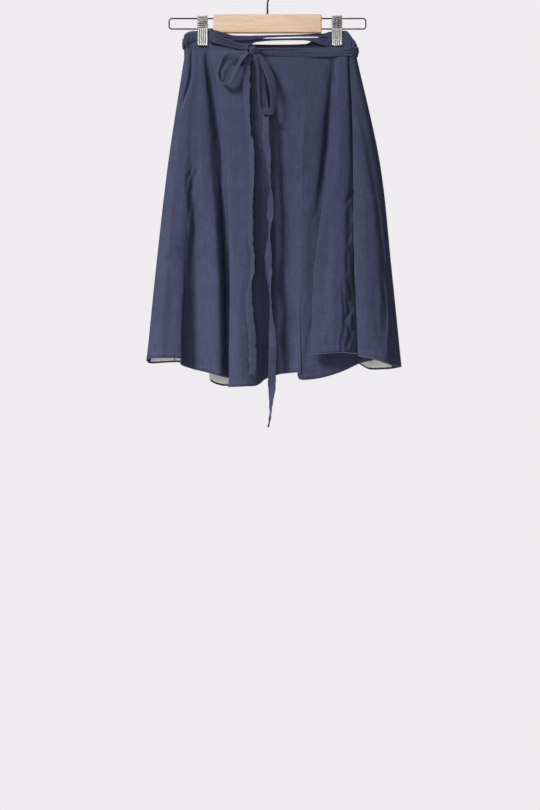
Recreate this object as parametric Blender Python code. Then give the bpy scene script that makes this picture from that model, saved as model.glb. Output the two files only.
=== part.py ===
# Wrap skirt with its ties, hanging from a wood and wire clip hanger.
# X is across, -Y is toward the viewer, Z is up. The origin is where a rail bears on the inside of the hook.
# "out" in the tables is the distance toward the viewer, so y = -out. Tables are in millimetres.
import math
from collections import namedtuple

import bpy
import numpy as np

for old in list(bpy.data.objects):
    bpy.data.objects.remove(old, do_unlink=True)

MM = 0.001
GAP = 0.3  # between pieces that are sewn or pressed together

# Hanger
HOOK_WIRE = 3.4
HOOK_BEND = 21.0  # radius of the hook at the middle of its wire
HOOK_TIP_TURN = 205.0
BAR_TOP, BAR_HEIGHT, BAR_LENGTH, BAR_DEPTH, BAR_ROUND = -82.0, 33.5, 195.0, 12.0, 2.6
WIRE = 2.6
WIRE_REACH = 177.0  # middle of the wire at its outer end
WIRE_UPPER, WIRE_LOWER, WIRE_CORNER = -89.0, -107.8, 5.0
WIRE_SIDES = 10

# Clips
CLIP_LEFT, CLIP_RIGHT, CLIP_WIDTH = -116.6, 125.1, 18.7
JAW_PLATE = 1.0
GROOVE_PLACES, GROOVE_DEPTH, RIDGE_RISE = (-4.6, 0.0, 4.6), 0.45, 0.5
CORE_WIDTH, CORE_TOP, CORE_BOTTOM = 15.0, -90.7, -106.1

# Skirt
CLOTH = 1.2  # wall of the navy panels
LINING, LINING_GAP = 1.0, 0.5
TIE = 1.0  # thickness of the pressed tie
WAIST, HIP, MID = -160.0, -350.0, -540.0  # heights at which the fold table gives each fold's place
LINING_TOP, HEM_TURN = -178.0, 6.0
LIP_LEVEL = -142.0  # the cloth is pressed flat from its upper edge down to here
ROWS_ABOVE, ROWS_BELOW = 3, 9

# A row for each fold line, from its place at the waist down to the hem.
Fold = namedtuple("Fold", "waist_x hip_x mid_x hem_x waist_out hip_out mid_out hem_out hem_z")

UNDER_FRONT = {
    "left seam": Fold(-150, -179, -201, -218, 0, 0, 0, -4, -706),
    "left turn": Fold(-147, -175, -196, -213, 4, 13, 21, 25, -702),
    "left crest": Fold(-140, -163, -177, -187, 6, 23, 35, 43, -701),
    "left lip": Fold(-133, -149, -154, -153, 6, 24, 33, 41, -702),
    "left tuck": Fold(-128, -139, -143, -156, 6, 22, 26, 27, -711),
    "left valley": Fold(-124, -128, -129, -138, 6, 20, 16, 11, -719),
    "left ridge": Fold(-118, -115, -110, -106, 8, 22, 27, 31, -727),
    "lap shade": Fold(-113, -103, -90, -86, 8, 21, 33, 39, -733),
    "lap slope": Fold(-107, -87, -72, -65, 5, 10, 15, 17, -737),
    "lap tuck": Fold(-104, -80, -58, -50, 5, 10, 12, 12, -740),
    "lap return": Fold(-102, -77, -61, -57, 6, 19, 34, 40, -749),
    "lap edge": Fold(-98, -76, -68, -68, 8, 25, 44, 56, -753),
    "front crest": Fold(-80, -58, -47, -43, 12, 29, 50, 64, -752),
    "front shoulder": Fold(-49, -29, -22, -19, 13, 29, 45, 56, -750),
    "centre wall": Fold(-17, -3, 0, -4, 12, 24, 31, 38, -739),
    "centre valley": Fold(8, 19, 18, 16, 11, 17, 19, 22, -731),
    "right rise": Fold(33, 40, 38, 36, 11, 19, 22, 27, -728),
    "small lip": Fold(58, 58, 57, 60, 10, 21, 27, 36, -726),
    "small tuck": Fold(67, 64, 61, 54, 10, 21.4, 27.6, 32.6, -733),
    "under shade": Fold(74, 69, 67, 63, 9, 21, 28, 34, -740),
    "under middle": Fold(94, 90, 87, 97, 7, 18, 25, 32, -736),
    "under recess": Fold(112, 112, 116, 133, 6, 11, 17, 24, -725),
    "under right": Fold(130, 139, 152, 166, 5, 9, 13, 18, -710),
    "under end": Fold(141, 155, 173, 191, 4, 7, 10, 12, -704),
}
OVER_FRONT = {
    "free edge": Fold(117, 108, 83, 77, 9, 27, 39, 44, -695),
    "edge flat": Fold(124, 115, 96, 91, 10, 28, 41, 47, -694),
    "over crest": Fold(133, 127, 115, 113, 11, 29, 43, 49, -693),
    "over shoulder": Fold(139, 140, 135, 134, 11, 28, 42, 48, -692),
    "over wall": Fold(143, 148, 147, 151, 10, 24, 34, 34, -693),
    "over tuck": Fold(146.4, 157, 166, 173, 6, 13, 16, 19.4, -694),
    "second edge": Fold(148.6, 153, 155, 162, 11, 22, 33, 39, -697),
    "right crest": Fold(152, 165, 172, 184, 10, 25, 37, 45, -702),
    "right shoulder": Fold(155, 178, 192, 206, 9, 24, 35, 43, -709),
    "side ridge": Fold(158, 191, 208, 221, 6, 17, 25, 32, -714),
    "right turn": Fold(160, 200, 221, 238, 3, 5, 9, 10, -716),
    "right seam": Fold(161, 203, 224, 242, -1, -5, -7, -9, -716),
}
BACK = {
    "left seam": Fold(-150, -179, -201, -218, 0, 0, 0, -4, -706),
    "left turn": Fold(-147, -175, -195, -211, -5, -18, -28, -38, -709),
    "left crest": Fold(-131, -146, -159, -167, -8, -30, -48, -60, -706.4),
    "left hollow": Fold(-113, -118, -124, -127, -8, -24, -36, -44, -713),
    "left wall": Fold(-103, -105, -106, -106, -9, -30, -50, -66, -727),
    "low edge": Fold(-97, -99, -101, -102, -8, -24, -38, -46, -742),
    "low hollow": Fold(-71, -72, -76, -74, -9, -28, -44, -54, -750),
    "centre crest": Fold(-39, -35, -36, -32, -11, -36, -62, -78, -739),
    "centre hollow": Fold(4, 8, 12, 15, -11, -32, -52, -62, -722),
    "right crest": Fold(48, 55, 60, 63, -12, -40, -68, -86, -713),
    "right hollow": Fold(88, 95, 103, 111, -10, -32, -50, -60, -707),
    "outer crest": Fold(120, 132, 144, 155, -9, -36, -60, -76, -705),
    "outer hollow": Fold(142, 164, 180, 191, -8, -28, -44, -54, -720),
    "right turn": Fold(156, 191, 208, 223, -6, -20, -32, -38, -719),
    "right seam": Fold(161, 203, 224, 242, -1, -5, -7, -9, -716),
}

# The upper edge of each panel: it rises to each clip, is pressed flat there and sags between the clips.
Edge = namedtuple("Edge", "x z out")
UNDER_TOP = (
    Edge(-152, -121, 0.8), Edge(-147, -116, 1.6), Edge(-141, -113, 2.0), Edge(-129, -111.5, 2.2),
    Edge(-107.2, -112, 2.2), Edge(-105, -126, 2.4), Edge(-101, -136, 3.6), Edge(-92, -139, 6.2), Edge(-76, -140, 9.0),
    Edge(-31, -142.5, 11.6), Edge(0, -144, 11.4), Edge(58, -144, 9.8), Edge(100, -143, 6.6),
    Edge(108, -138, 3.6), Edge(114, -113, 1.8), Edge(136, -112, 1.8), Edge(142, -112, 1.8),
)
OVER_TOP = (
    Edge(116, -113, 3.6), Edge(137, -111.5, 3.6), Edge(143, -112.5, 4.2), Edge(148, -118, 5.0),
    Edge(153, -125, 5.4), Edge(158, -131, 4.0), Edge(160, -135, 2.2), Edge(163, -141, -1.0),
)
BACK_TOP = (
    Edge(-152, -121, -0.8), Edge(-147, -116, -1.6), Edge(-141, -113, -2.4), Edge(-129, -111.5, -3.6),
    Edge(-106, -111.5, -3.6), Edge(-96, -116, -5.0), Edge(-80, -123, -7.0), Edge(-63, -129, -9.0),
    Edge(-31, -133, -10.6), Edge(10, -134, -11.0), Edge(68, -133, -10.4), Edge(83, -126.5, -8.4),
    Edge(97, -119, -5.2), Edge(104, -115, -3.7), Edge(112, -112, -3.6), Edge(138, -111.5, -3.6), Edge(144, -113, -4.0),
    Edge(153, -125, -4.0), Edge(158, -131, -3.0), Edge(160, -135, -2.2), Edge(163, -141, -1.0),
)

# Bands that lie round the waist: upper and lower edge of the band at each place along it.
Band = namedtuple("Band", "x out top bottom")
TIE_WRAP = (
    Band(-18.4, 24.2, -147.5, -154), Band(-8, 16.2, -145.5, -156.5), Band(8, 14, -144, -158),
    Band(40, 12.3, -144, -160), Band(74, 11, -143.5, -160), Band(104, 11, -143, -160),
    Band(124, 12.4, -143, -159), Band(141, 12.8, -143, -159), Band(152, 11.9, -143, -159),
    Band(159.6, 8.8, -142, -158.5), Band(163.2, 4, -141, -158), Band(163.8, -1, -140.5, -158),
    Band(162, -6, -141, -158), Band(156.4, -9.4, -142, -158.5), Band(146, -10.8, -143, -160),
    Band(120, -12, -144, -161), Band(84, -13.2, -145, -162), Band(48, -14.4, -146, -162),
    Band(4, -13.6, -146, -162), Band(-39, -13.4, -145, -161), Band(-84, -11.8, -143, -159),
    Band(-116, -11, -143, -158), Band(-134, -10.4, -141, -155), Band(-146, -8.6, -133, -149),
    Band(-152, -5, -129, -145), Band(-153.6, 0.4, -127, -143), Band(-151.4, 5, -125, -141),
)
TIE_FRONT_LEFT = (
    Band(-149.6, 7, -122, -138), Band(-142, 5.4, -118, -134), Band(-132, 3.5, -114, -129.5),
    Band(-121, 3.5, -113, -128), Band(-106.4, 3.5, -113, -128), Band(-102.6, 6.4, -115, -131),
    Band(-98, 9.4, -117, -133), Band(-84, 12.6, -124, -138), Band(-62, 15, -132, -143),
    Band(-44, 19, -138, -148), Band(-34.9, 22.6, -140, -147.6),
)
STRAND_UPPER = (
    Band(-118, 0.6, -110.5, -121), Band(-109, 0.6, -110, -121), Band(-104.6, 0.8, -110, -121),
    Band(-98.6, 7.4, -110.5, -121.4), Band(-90, 8, -112.6, -122.4), Band(-82, 7.6, -115, -126),
    Band(-62, 2, -119.6, -129), Band(-40, 0.6, -120, -128.4), Band(-12, 0.2, -119.6, -125.4),
    Band(4, 0.2, -119.2, -122.8), Band(56, 0, -118.2, -121.4), Band(84, 0, -116.4, -121.6),
    Band(100, 0.2, -116.1, -122.4), Band(107, 0.2, -115, -122.8), Band(118, 0.2, -114, -123),
    Band(130, 0.2, -113.5, -122),
)
STRAND_MIDDLE = (
    Band(-118, -0.6, -123.5, -133), Band(-106, -0.8, -123.5, -135), Band(-84, -1.6, -124.5, -138),
    Band(-56, -2.6, -125, -140), Band(-34, -3, -124.6, -137.6), Band(-20, -3, -124.8, -131),
    Band(20, -3, -124.6, -127.8), Band(60, -2.6, -123.8, -127.4), Band(84, -2.2, -123.4, -131),
    Band(100, -1, -123.8, -137), Band(118, -1.1, -124.4, -138), Band(130, -1.1, -124.4, -138),
)

# Loose ribbons: middle line, width and how far the ribbon is turned from facing the viewer.
Ribbon = namedtuple("Ribbon", "x z out width turn")
BOW_LEFT = (
    Ribbon(-34.2, -154, 25.4, 8, 4), Ribbon(-48, -157.4, 25, 12.6, 0), Ribbon(-62, -159.4, 24, 13.2, -4),
    Ribbon(-74, -163, 23.4, 10.6, -24), Ribbon(-81, -175, 23.4, 7.6, -48), Ribbon(-86.4, -190, 24, 7, -56),
    Ribbon(-84, -203, 26, 7.4, -50), Ribbon(-74.4, -210.4, 29, 8, -40), Ribbon(-65.6, -205, 31, 8.8, -46),
    Ribbon(-57.4, -187, 32, 9.4, -50), Ribbon(-46, -166, 30, 9, -40), Ribbon(-35.4, -154, 27.4, 9, -20),
)
BOW_RIGHT = (
    Ribbon(-19, -158.4, 25, 8, -10), Ribbon(-8.6, -170, 27.4, 12, -10), Ribbon(1.4, -190, 29, 14.4, -14),
    Ribbon(8.8, -212, 30.6, 15.4, -20), Ribbon(12, -236, 32.6, 14, -28), Ribbon(10.6, -254, 35, 11, -24),
    Ribbon(3, -262.4, 36.6, 11.4, 0), Ribbon(-6, -261.4, 37.7, 11.2, 10), Ribbon(-11.4, -251, 37.8, 8.6, 34),
    Ribbon(-12.4, -228, 36.4, 8.6, 40), Ribbon(-14, -200, 34, 8, 38), Ribbon(-17.2, -176, 31.6, 8, 28),
    Ribbon(-21.4, -159, 28.4, 7.6, 10),
)
SHORT_END = (
    Ribbon(-29.8, -159, 23, 9, 6), Ribbon(-36, -172, 24, 12, 8), Ribbon(-37, -200, 26, 12.5, 14),
    Ribbon(-37.4, -232, 29, 12.5, 26), Ribbon(-36, -268, 32, 12.5, 40), Ribbon(-34, -300, 34, 12, 50),
    Ribbon(-29.4, -318, 35, 12, 42), Ribbon(-28.4, -358, 38, 12, 38), Ribbon(-29, -393, 42, 12, 46),
    Ribbon(-30.4, -429, 46, 12, 50), Ribbon(-30.6, -459, 48, 12, 40), Ribbon(-30.4, -491, 50, 12, 46),
    Ribbon(-27, -523, 53, 12, 60), Ribbon(-27, -545, 55, 12, 52), Ribbon(-31.2, -567, 58, 12, 64),
    Ribbon(-33, -598, 60, 12.4, 20), Ribbon(-30, -633, 62, 13, 8), Ribbon(-27.2, -660, 64, 13, 0),
    Ribbon(-26, -678, 66, 13, -6), Ribbon(-26, -704, 67, 13, 4), Ribbon(-26.6, -732, 68, 12.8, 0),
)
LONG_END = (
    Ribbon(-23.2, -159, 22, 8, 0), Ribbon(-14, -178, 22, 10, 0), Ribbon(-8, -214, 24, 12, 0),
    Ribbon(-5, -250, 30, 12, 14), Ribbon(-3, -286, 35, 12.4, 36), Ribbon(-3.2, -304, 36, 13, 12),
    Ribbon(-0.6, -330, 36, 13, 26), Ribbon(1.2, -348, 36, 13, 54), Ribbon(2, -366, 36, 12.6, 66),
    Ribbon(3.2, -384, 36, 12.6, 80), Ribbon(4.4, -401, 37, 12.6, 74), Ribbon(5.4, -414, 37, 12.6, 50),
    Ribbon(5.6, -430, 38, 12.6, 24), Ribbon(5, -444, 38, 12.6, 18), Ribbon(3.4, -464, 39, 12.6, 70),
    Ribbon(2.7, -477, 40, 12.6, 80), Ribbon(2.2, -491, 41, 12.6, 70), Ribbon(1.6, -509, 41, 12.8, 38),
    Ribbon(1.6, -526, 42, 12.8, 8), Ribbon(2, -545, 42, 12.8, 14), Ribbon(2.4, -560, 42, 12.8, 50),
    Ribbon(3.2, -572, 43, 12.8, 72), Ribbon(4.2, -590, 43, 12.8, 78), Ribbon(5.4, -615, 44, 13, 75),
    Ribbon(6.4, -634, 45, 13, 58), Ribbon(7.6, -651, 46, 13.4, 36), Ribbon(9.4, -678, 48, 13.8, 4),
    Ribbon(8.8, -713, 50, 13.8, -2), Ribbon(8, -740, 51, 13.8, 2), Ribbon(7.4, -758, 51, 13.6, 30),
    Ribbon(6.2, -776, 51, 13, 56), Ribbon(5.2, -794, 51, 12.4, 74), Ribbon(3.4, -811, 51, 11.6, 78),
    Ribbon(0.6, -824, 51, 10, 76),
)

# The knot: half width and half depth of each level.
Level = namedtuple("Level", "z half_width half_depth")
KNOT_X, KNOT_OUT = -26.6, 24.0
KNOT = (
    Level(-157.6, 4.2, 3.2), Level(-155.6, 6.4, 5.0), Level(-152.4, 7.4, 5.8), Level(-149.6, 6.8, 5.2),
    Level(-147.0, 7.6, 5.6), Level(-144.0, 7.0, 4.8), Level(-142.0, 4.6, 3.2),
)

# The clip's jaw, from its finger end down to its lip: how far its outside stands out, and how wide it is.
Jaw = namedtuple("Jaw", "z out width")
JAW = (
    Jaw(-85.0, 9.4, 17.6), Jaw(-90.0, 8.6, 18.7), Jaw(-98.0, 7.4, 18.7), Jaw(-106.0, 6.8, 18.7),
    Jaw(-118.0, 5.8, 18.7), Jaw(-130.0, 5.1, 18.7), Jaw(-137.0, 4.95, 18.7), Jaw(-139.4, 4.95, 18.0),
)
JAW_ACROSS = (-1.0, -0.68, -0.49, -0.31, -0.15, 0.0, 0.15, 0.31, 0.49, 0.68, 1.0)
JAW_DOWN = (
    -85, -86.6, -88.6, -90.6, -92.6, -94.6, -96.6, -98.6, -100.6, -102.6, -104.6, -106.6, -109,
    -120, -130, -136, -138, -139.4,
)


def curve_at(knots, values, at):
    """A smooth curve through values at rising knots, worked out at each place in at. It never overshoots."""
    knots, values = np.asarray(knots, float), np.asarray(values, float)
    steps = np.diff(knots)
    rises = np.diff(values, axis=0) / steps.reshape(-1, *([1] * (values.ndim - 1)))
    slopes = np.empty_like(values)
    slopes[0], slopes[-1] = rises[0], rises[-1]
    weight = (steps[1:] / (steps[1:] + steps[:-1])).reshape(-1, *([1] * (values.ndim - 1)))
    slopes[1:-1] = weight * rises[:-1] + (1 - weight) * rises[1:]
    least = 3 * np.minimum(abs(rises[:-1]), abs(rises[1:]))
    level = rises[:-1] * rises[1:] <= 0
    slopes[1:-1] = np.where(level, 0, np.sign(slopes[1:-1]) * np.minimum(abs(slopes[1:-1]), least))
    found = []
    for place in np.atleast_1d(at):
        i = int(np.clip(np.searchsorted(knots, place) - 1, 0, len(steps) - 1))
        t = (place - knots[i]) / steps[i]
        h = steps[i]
        found.append(
            (2 * t**3 - 3 * t**2 + 1) * values[i]
            + (t**3 - 2 * t**2 + t) * h * slopes[i]
            + (3 * t**2 - 2 * t**3) * values[i + 1]
            + (t**3 - t**2) * h * slopes[i + 1]
        )
    return np.array(found)


def panel_sheet(folds, top_edge, cuts):
    """Outer face of a panel: a grid of (x, out, z), rows from the upper edge down, columns from fold to fold."""
    rows = list(folds.values())
    count = len(rows)
    across = np.linspace(0, count - 1, (count - 1) * cuts + 1)
    waist_x = curve_at(range(count), [f.waist_x for f in rows], across)
    waist_out = curve_at(range(count), [f.waist_out for f in rows], across)
    edge_x = [e.x for e in top_edge]
    top_z = np.interp(waist_x, edge_x, [e.z for e in top_edge])
    top_out = np.interp(waist_x, edge_x, [e.out for e in top_edge])
    sheet = []
    lip_z = np.minimum(LIP_LEVEL, top_z - 5)
    for part in (0.0, 0.5, 1.0):
        sheet.append(np.stack([waist_x, top_out, top_z + (lip_z - top_z) * part], axis=1))
    hem_z = curve_at(range(count), [f.hem_z for f in rows], across)
    for k in range(ROWS_BELOW + 1):
        part = k / ROWS_BELOW
        places = []
        for f in rows:
            z = WAIST + (f.hem_z - WAIST) * part
            levels = [-WAIST, -HIP, -MID, -f.hem_z]
            xs, outs = (f.waist_x, f.hip_x, f.mid_x, f.hem_x), (f.waist_out, f.hip_out, f.mid_out, f.hem_out)
            places.append(curve_at(levels, np.array([xs, outs]).T, -z)[0])
        ring = curve_at(range(count), places, across)
        sheet.append(np.column_stack([ring, WAIST + (hem_z - WAIST) * part]))
    return np.array(sheet)


def outward(sheet, side, left_seam, right_seam):
    """Unit normals of a sheet's outer face. At a side seam they lie across, so that the walls meet squarely."""
    along = np.gradient(sheet, axis=1)
    down = np.gradient(sheet, axis=0)
    normal = np.cross(along, down) * side
    normal /= np.linalg.norm(normal, axis=2, keepdims=True)
    for seam, column, across in ((left_seam, 0, -1), (right_seam, -1, 1)):
        if seam:
            normal[:, column] = (across, 0, 0)
    return normal


def material(name, colour, roughness, metallic=0.0):
    made = bpy.data.materials.new(name)
    made.use_nodes = True
    shader = made.node_tree.nodes["Principled BSDF"]
    shader.inputs["Base Color"].default_value = (*colour, 1)
    shader.inputs["Roughness"].default_value = roughness
    shader.inputs["Metallic"].default_value = metallic
    return made


def add_solid(name, points, faces, look, smooth=True):
    """Adds one named solid from points in (x, out, z) millimetres, its faces turned outward."""
    corners = np.array([(x * MM, -out * MM, z * MM) for x, out, z in points])
    volume = 0.0
    for face in faces:
        for b, c in zip(face[1:-1], face[2:]):
            volume += np.dot(corners[face[0]], np.cross(corners[b], corners[c]))
    if volume < 0:
        faces = [face[::-1] for face in faces]
    mesh = bpy.data.meshes.new(name)
    mesh.from_pydata(corners.tolist(), [], faces)
    mesh.validate()
    mesh.polygons.foreach_set("use_smooth", [smooth] * len(mesh.polygons))
    mesh.materials.append(look)
    mesh.update()
    added = bpy.data.objects.new(name, mesh)
    bpy.context.scene.collection.objects.link(added)
    return added


def wall_between(name, outer, inner, look, smooth=True):
    """A closed wall between two grids of the same size."""
    rows, columns = outer.shape[:2]
    points = [tuple(p) for p in outer.reshape(-1, 3)] + [tuple(p) for p in inner.reshape(-1, 3)]
    shift = rows * columns
    faces = []
    for r in range(rows - 1):
        for c in range(columns - 1):
            a, b = r * columns + c, r * columns + c + 1
            d, e = a + columns, b + columns
            faces.append((a, d, e, b))
            faces.append((a + shift, b + shift, e + shift, d + shift))
    rim = [c for c in range(columns)]
    rim += [r * columns + columns - 1 for r in range(1, rows)]
    rim += [(rows - 1) * columns + c for c in range(columns - 2, -1, -1)]
    rim += [r * columns for r in range(rows - 2, 0, -1)]
    for a, b in zip(rim, rim[1:] + rim[:1]):
        faces.append((a, b, b + shift, a + shift))
    return add_solid(name, points, faces, look, smooth)


def add_panel(name, folds, top_edge, cuts, look, side, seams):
    """A panel's wall. side is 1 for a front panel and -1 for the back, whose outside faces away."""
    sheet = panel_sheet(folds, top_edge, cuts)
    for seam, column in zip(seams, (0, -1)):
        if seam:
            sheet[:, column, 1] += side * 0.5 * (GAP + 0.1)
    normal = outward(sheet, side, *seams)
    inner = sheet - normal * CLOTH
    wall_between(name, sheet, inner, look)
    return sheet, normal


def add_band(name, rows, look, cuts=1, thick=TIE):
    """A tie lying round the waist: its broad face stands upright, and a shallow crown runs along its middle."""
    at = np.linspace(0, len(rows) - 1, (len(rows) - 1) * cuts + 1)
    path = curve_at(range(len(rows)), [tuple(r) for r in rows], at)
    run = np.gradient(path[:, :2], axis=0)
    run /= np.linalg.norm(run, axis=1, keepdims=True)
    face = np.column_stack([-run[:, 1], run[:, 0], np.zeros(len(run))])
    outer, inner = [], []
    for share in (0.0, 0.5, 1.0):
        z = path[:, 2] + (path[:, 3] - path[:, 2]) * share
        middle = np.column_stack([path[:, 0], path[:, 1], z])
        outer.append(middle)
        inner.append(middle - face * thick)
    return wall_between(name, np.array(outer), np.array(inner), look)


def front_out(sheets, x, z):
    """How far out the front of the skirt stands at one place, or None beside or below it."""
    best = None
    for sheet in sheets:
        a, b = sheet[:-1, :-1].reshape(-1, 3), sheet[:-1, 1:].reshape(-1, 3)
        c, d = sheet[1:, 1:].reshape(-1, 3), sheet[1:, :-1].reshape(-1, 3)
        for p, q, r in ((a, b, c), (a, c, d)):
            area = (q[:, 0] - p[:, 0]) * (r[:, 2] - p[:, 2]) - (r[:, 0] - p[:, 0]) * (q[:, 2] - p[:, 2])
            area = np.where(abs(area) < 1e-9, 1e-9, area)
            u = ((x - p[:, 0]) * (r[:, 2] - p[:, 2]) - (r[:, 0] - p[:, 0]) * (z - p[:, 2])) / area
            v = ((q[:, 0] - p[:, 0]) * (z - p[:, 2]) - (x - p[:, 0]) * (q[:, 2] - p[:, 2])) / area
            inside = (u >= 0) & (v >= 0) & (u + v <= 1)
            if inside.any():
                out = (p[:, 1] + u * (q[:, 1] - p[:, 1]) + v * (r[:, 1] - p[:, 1]))[inside].max()
                best = out if best is None else max(best, out)
    return best


def add_ribbon(name, rows, look, sheets, cuts, clear=2.0, thick=TIE):
    """A loose tie. Where the skirt's front is in its way, it lies just in front of it."""
    at = np.linspace(0, len(rows) - 1, (len(rows) - 1) * cuts + 1)
    path = curve_at(range(len(rows)), [tuple(r) for r in rows], at)
    middle = path[:, [0, 2, 1]].copy()
    for i, (x, out, z) in enumerate(middle):
        half = 0.5 * path[i, 3]
        turned = math.sin(math.radians(abs(path[i, 4])))
        for beside in (-1.0, -0.5, 0.0, 0.5, 1.0):
            behind = front_out(sheets, x + beside * half, z)
            if behind is not None:
                middle[i, 1] = max(middle[i, 1], behind + clear + half * turned)
    smooth = middle.copy()
    for i in range(1, len(middle) - 1):
        smooth[i, 1] = max(middle[i, 1], 0.5 * (middle[i - 1, 1] + middle[i + 1, 1]))
    run = np.gradient(smooth, axis=0)
    run /= np.linalg.norm(run, axis=1, keepdims=True)
    toward = np.array([0.0, 1.0, 0.0])
    wide = np.cross(run, toward)
    wide /= np.linalg.norm(wide, axis=1, keepdims=True)
    face = np.cross(wide, run)
    turn = np.radians(path[:, 4])[:, None]
    across = np.cos(turn) * wide + np.sin(turn) * face
    facing = np.cross(across, run)
    half = 0.5 * path[:, 3][:, None]
    outer = [smooth + across * half * s + facing * 0.5 * thick for s in (-1, 0, 1)]
    inner = [smooth + across * half * s - facing * 0.5 * thick for s in (-1, 0, 1)]
    return wall_between(name, np.array(outer), np.array(inner), look)


def add_tube(name, path, radius, sides, look):
    """A round wire along a path of (x, out, z) points, with flat ends."""
    path = np.array(path, float)
    run = np.gradient(path, axis=0)
    run /= np.linalg.norm(run, axis=1, keepdims=True)
    toward = np.array([0.0, 1.0, 0.0])
    points, faces = [], []
    for middle, along in zip(path, run):
        side = np.cross(along, toward)
        side /= np.linalg.norm(side)
        for k in range(sides):
            turn = 2 * math.pi * k / sides
            points.append(tuple(middle + radius * (math.cos(turn) * side + math.sin(turn) * toward)))
    for i in range(len(path) - 1):
        for k in range(sides):
            n = (k + 1) % sides
            faces.append((i * sides + k, i * sides + n, (i + 1) * sides + n, (i + 1) * sides + k))
    faces.append(tuple(range(sides))[::-1])
    last = (len(path) - 1) * sides
    faces.append(tuple(range(last, last + sides)))
    return add_solid(name, points, faces, look)


def add_rings(name, rings, look, smooth=True):
    """A closed solid through level rings of points, each ring with the same count."""
    count = len(rings[0])
    points = [tuple(p) for ring in rings for p in ring]
    faces = [tuple(range(count))[::-1]]
    for i in range(len(rings) - 1):
        for k in range(count):
            n = (k + 1) % count
            faces.append((i * count + k, i * count + n, (i + 1) * count + n, (i + 1) * count + k))
    last = (len(rings) - 1) * count
    faces.append(tuple(range(last, last + count)))
    return add_solid(name, points, faces, look, smooth)


def add_block(name, low, high, bevel, look):
    """A block with rounded edges."""
    (x0, o0, z0), (x1, o1, z1) = low, high
    ring = [(x0, o0), (x1, o0), (x1, o1), (x0, o1)]
    rings = [[(x, o, z) for x, o in ring] for z in (z0, z1)]
    block = add_rings(name, rings, look, smooth=True)
    rounding = block.modifiers.new("Rounded edges", "BEVEL")
    rounding.width = bevel * MM
    rounding.segments = 4
    rounding.limit_method = "ANGLE"
    return block


def add_jaw(name, middle, side, look):
    """One pressed jaw: crosswise ridges at the finger end, three upright grooves below, and a plain lip."""
    outer, inner = [], []
    for z in JAW_DOWN:
        out, width = curve_at([-j.z for j in JAW], [(j.out, j.width) for j in JAW], -z)[0]
        outer_row, inner_row = [], []
        for share in JAW_ACROSS:
            x = 0.5 * width * share
            rise = 0.0
            if -105.5 < z < -86 and abs(share) < 0.9:
                rise = RIDGE_RISE * (1 if round(-z - 88.6) % 4 == 0 else -0.4)
            if -136.5 < z < -108 and min(abs(x - g) for g in GROOVE_PLACES) < 0.3:
                rise = -GROOVE_DEPTH
            rolled = 0.5 if abs(share) == 1 else 0.0
            outer_row.append((middle + x, side * (out + rise - rolled), z))
            inner_row.append((middle + x, side * (out - JAW_PLATE - rolled * 0.2), z))
        outer.append(outer_row)
        inner.append(inner_row)
    return wall_between(name, np.array(outer), np.array(inner), look)


navy = material("Navy linen", (0.055, 0.060, 0.115), 0.85)
pale = material("Pale printed lining", (0.62, 0.64, 0.58), 0.85)
beech = material("Beech", (0.72, 0.52, 0.34), 0.5)
steel = material("Bright steel", (0.62, 0.62, 0.60), 0.25, 1.0)
dark_wire = material("Dark chrome wire", (0.18, 0.17, 0.17), 0.3, 1.0)

# Panels
under, _ = add_panel("under_front", UNDER_FRONT, UNDER_TOP, 2, navy, 1, (True, False))
over, _ = add_panel("over_front", OVER_FRONT, OVER_TOP, 2, navy, 1, (False, True))
back, back_normal = add_panel("back_panel", BACK, BACK_TOP, 3, navy, -1, (True, True))

# The lining is made from the back panel's own points, moved in past its wall, and stops short of its hem.
def lining_face(depth):
    face = (back - back_normal * depth)[ROWS_ABOVE:, 1:-1].copy()
    face[0] += (face[1] - face[0]) * ((WAIST - LINING_TOP) / (face[0, :, 2] - face[1, :, 2]))[:, None]
    face[-1] += (face[-2] - face[-1]) * (HEM_TURN / (face[-2, :, 2] - face[-1, :, 2]))[:, None]
    return face


wall_between("back_lining", lining_face(CLOTH + LINING_GAP), lining_face(CLOTH + LINING_GAP + LINING), pale)

# Ties
fronts = (under, over)
add_band("tie_wrap", TIE_WRAP, navy)
add_band("tie_front_left", TIE_FRONT_LEFT, navy)
add_band("strand_upper", STRAND_UPPER, navy)
add_band("strand_middle", STRAND_MIDDLE, navy)
add_ribbon("bow_loop_left", BOW_LEFT, navy, fronts, 2)
add_ribbon("bow_loop_right", BOW_RIGHT, navy, fronts, 2)
add_ribbon("short_tie_end", SHORT_END, navy, fronts, 2)
add_ribbon("long_tie_end", LONG_END, navy, fronts, 2)
knot_rings = []
for level in KNOT:
    knot_rings.append([
        (KNOT_X + level.half_width * math.cos(math.radians(t)),
         KNOT_OUT - level.half_depth * math.sin(math.radians(t)), level.z)
        for t in range(0, 360, 30)
    ])
add_rings("knot", knot_rings, navy)

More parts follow.
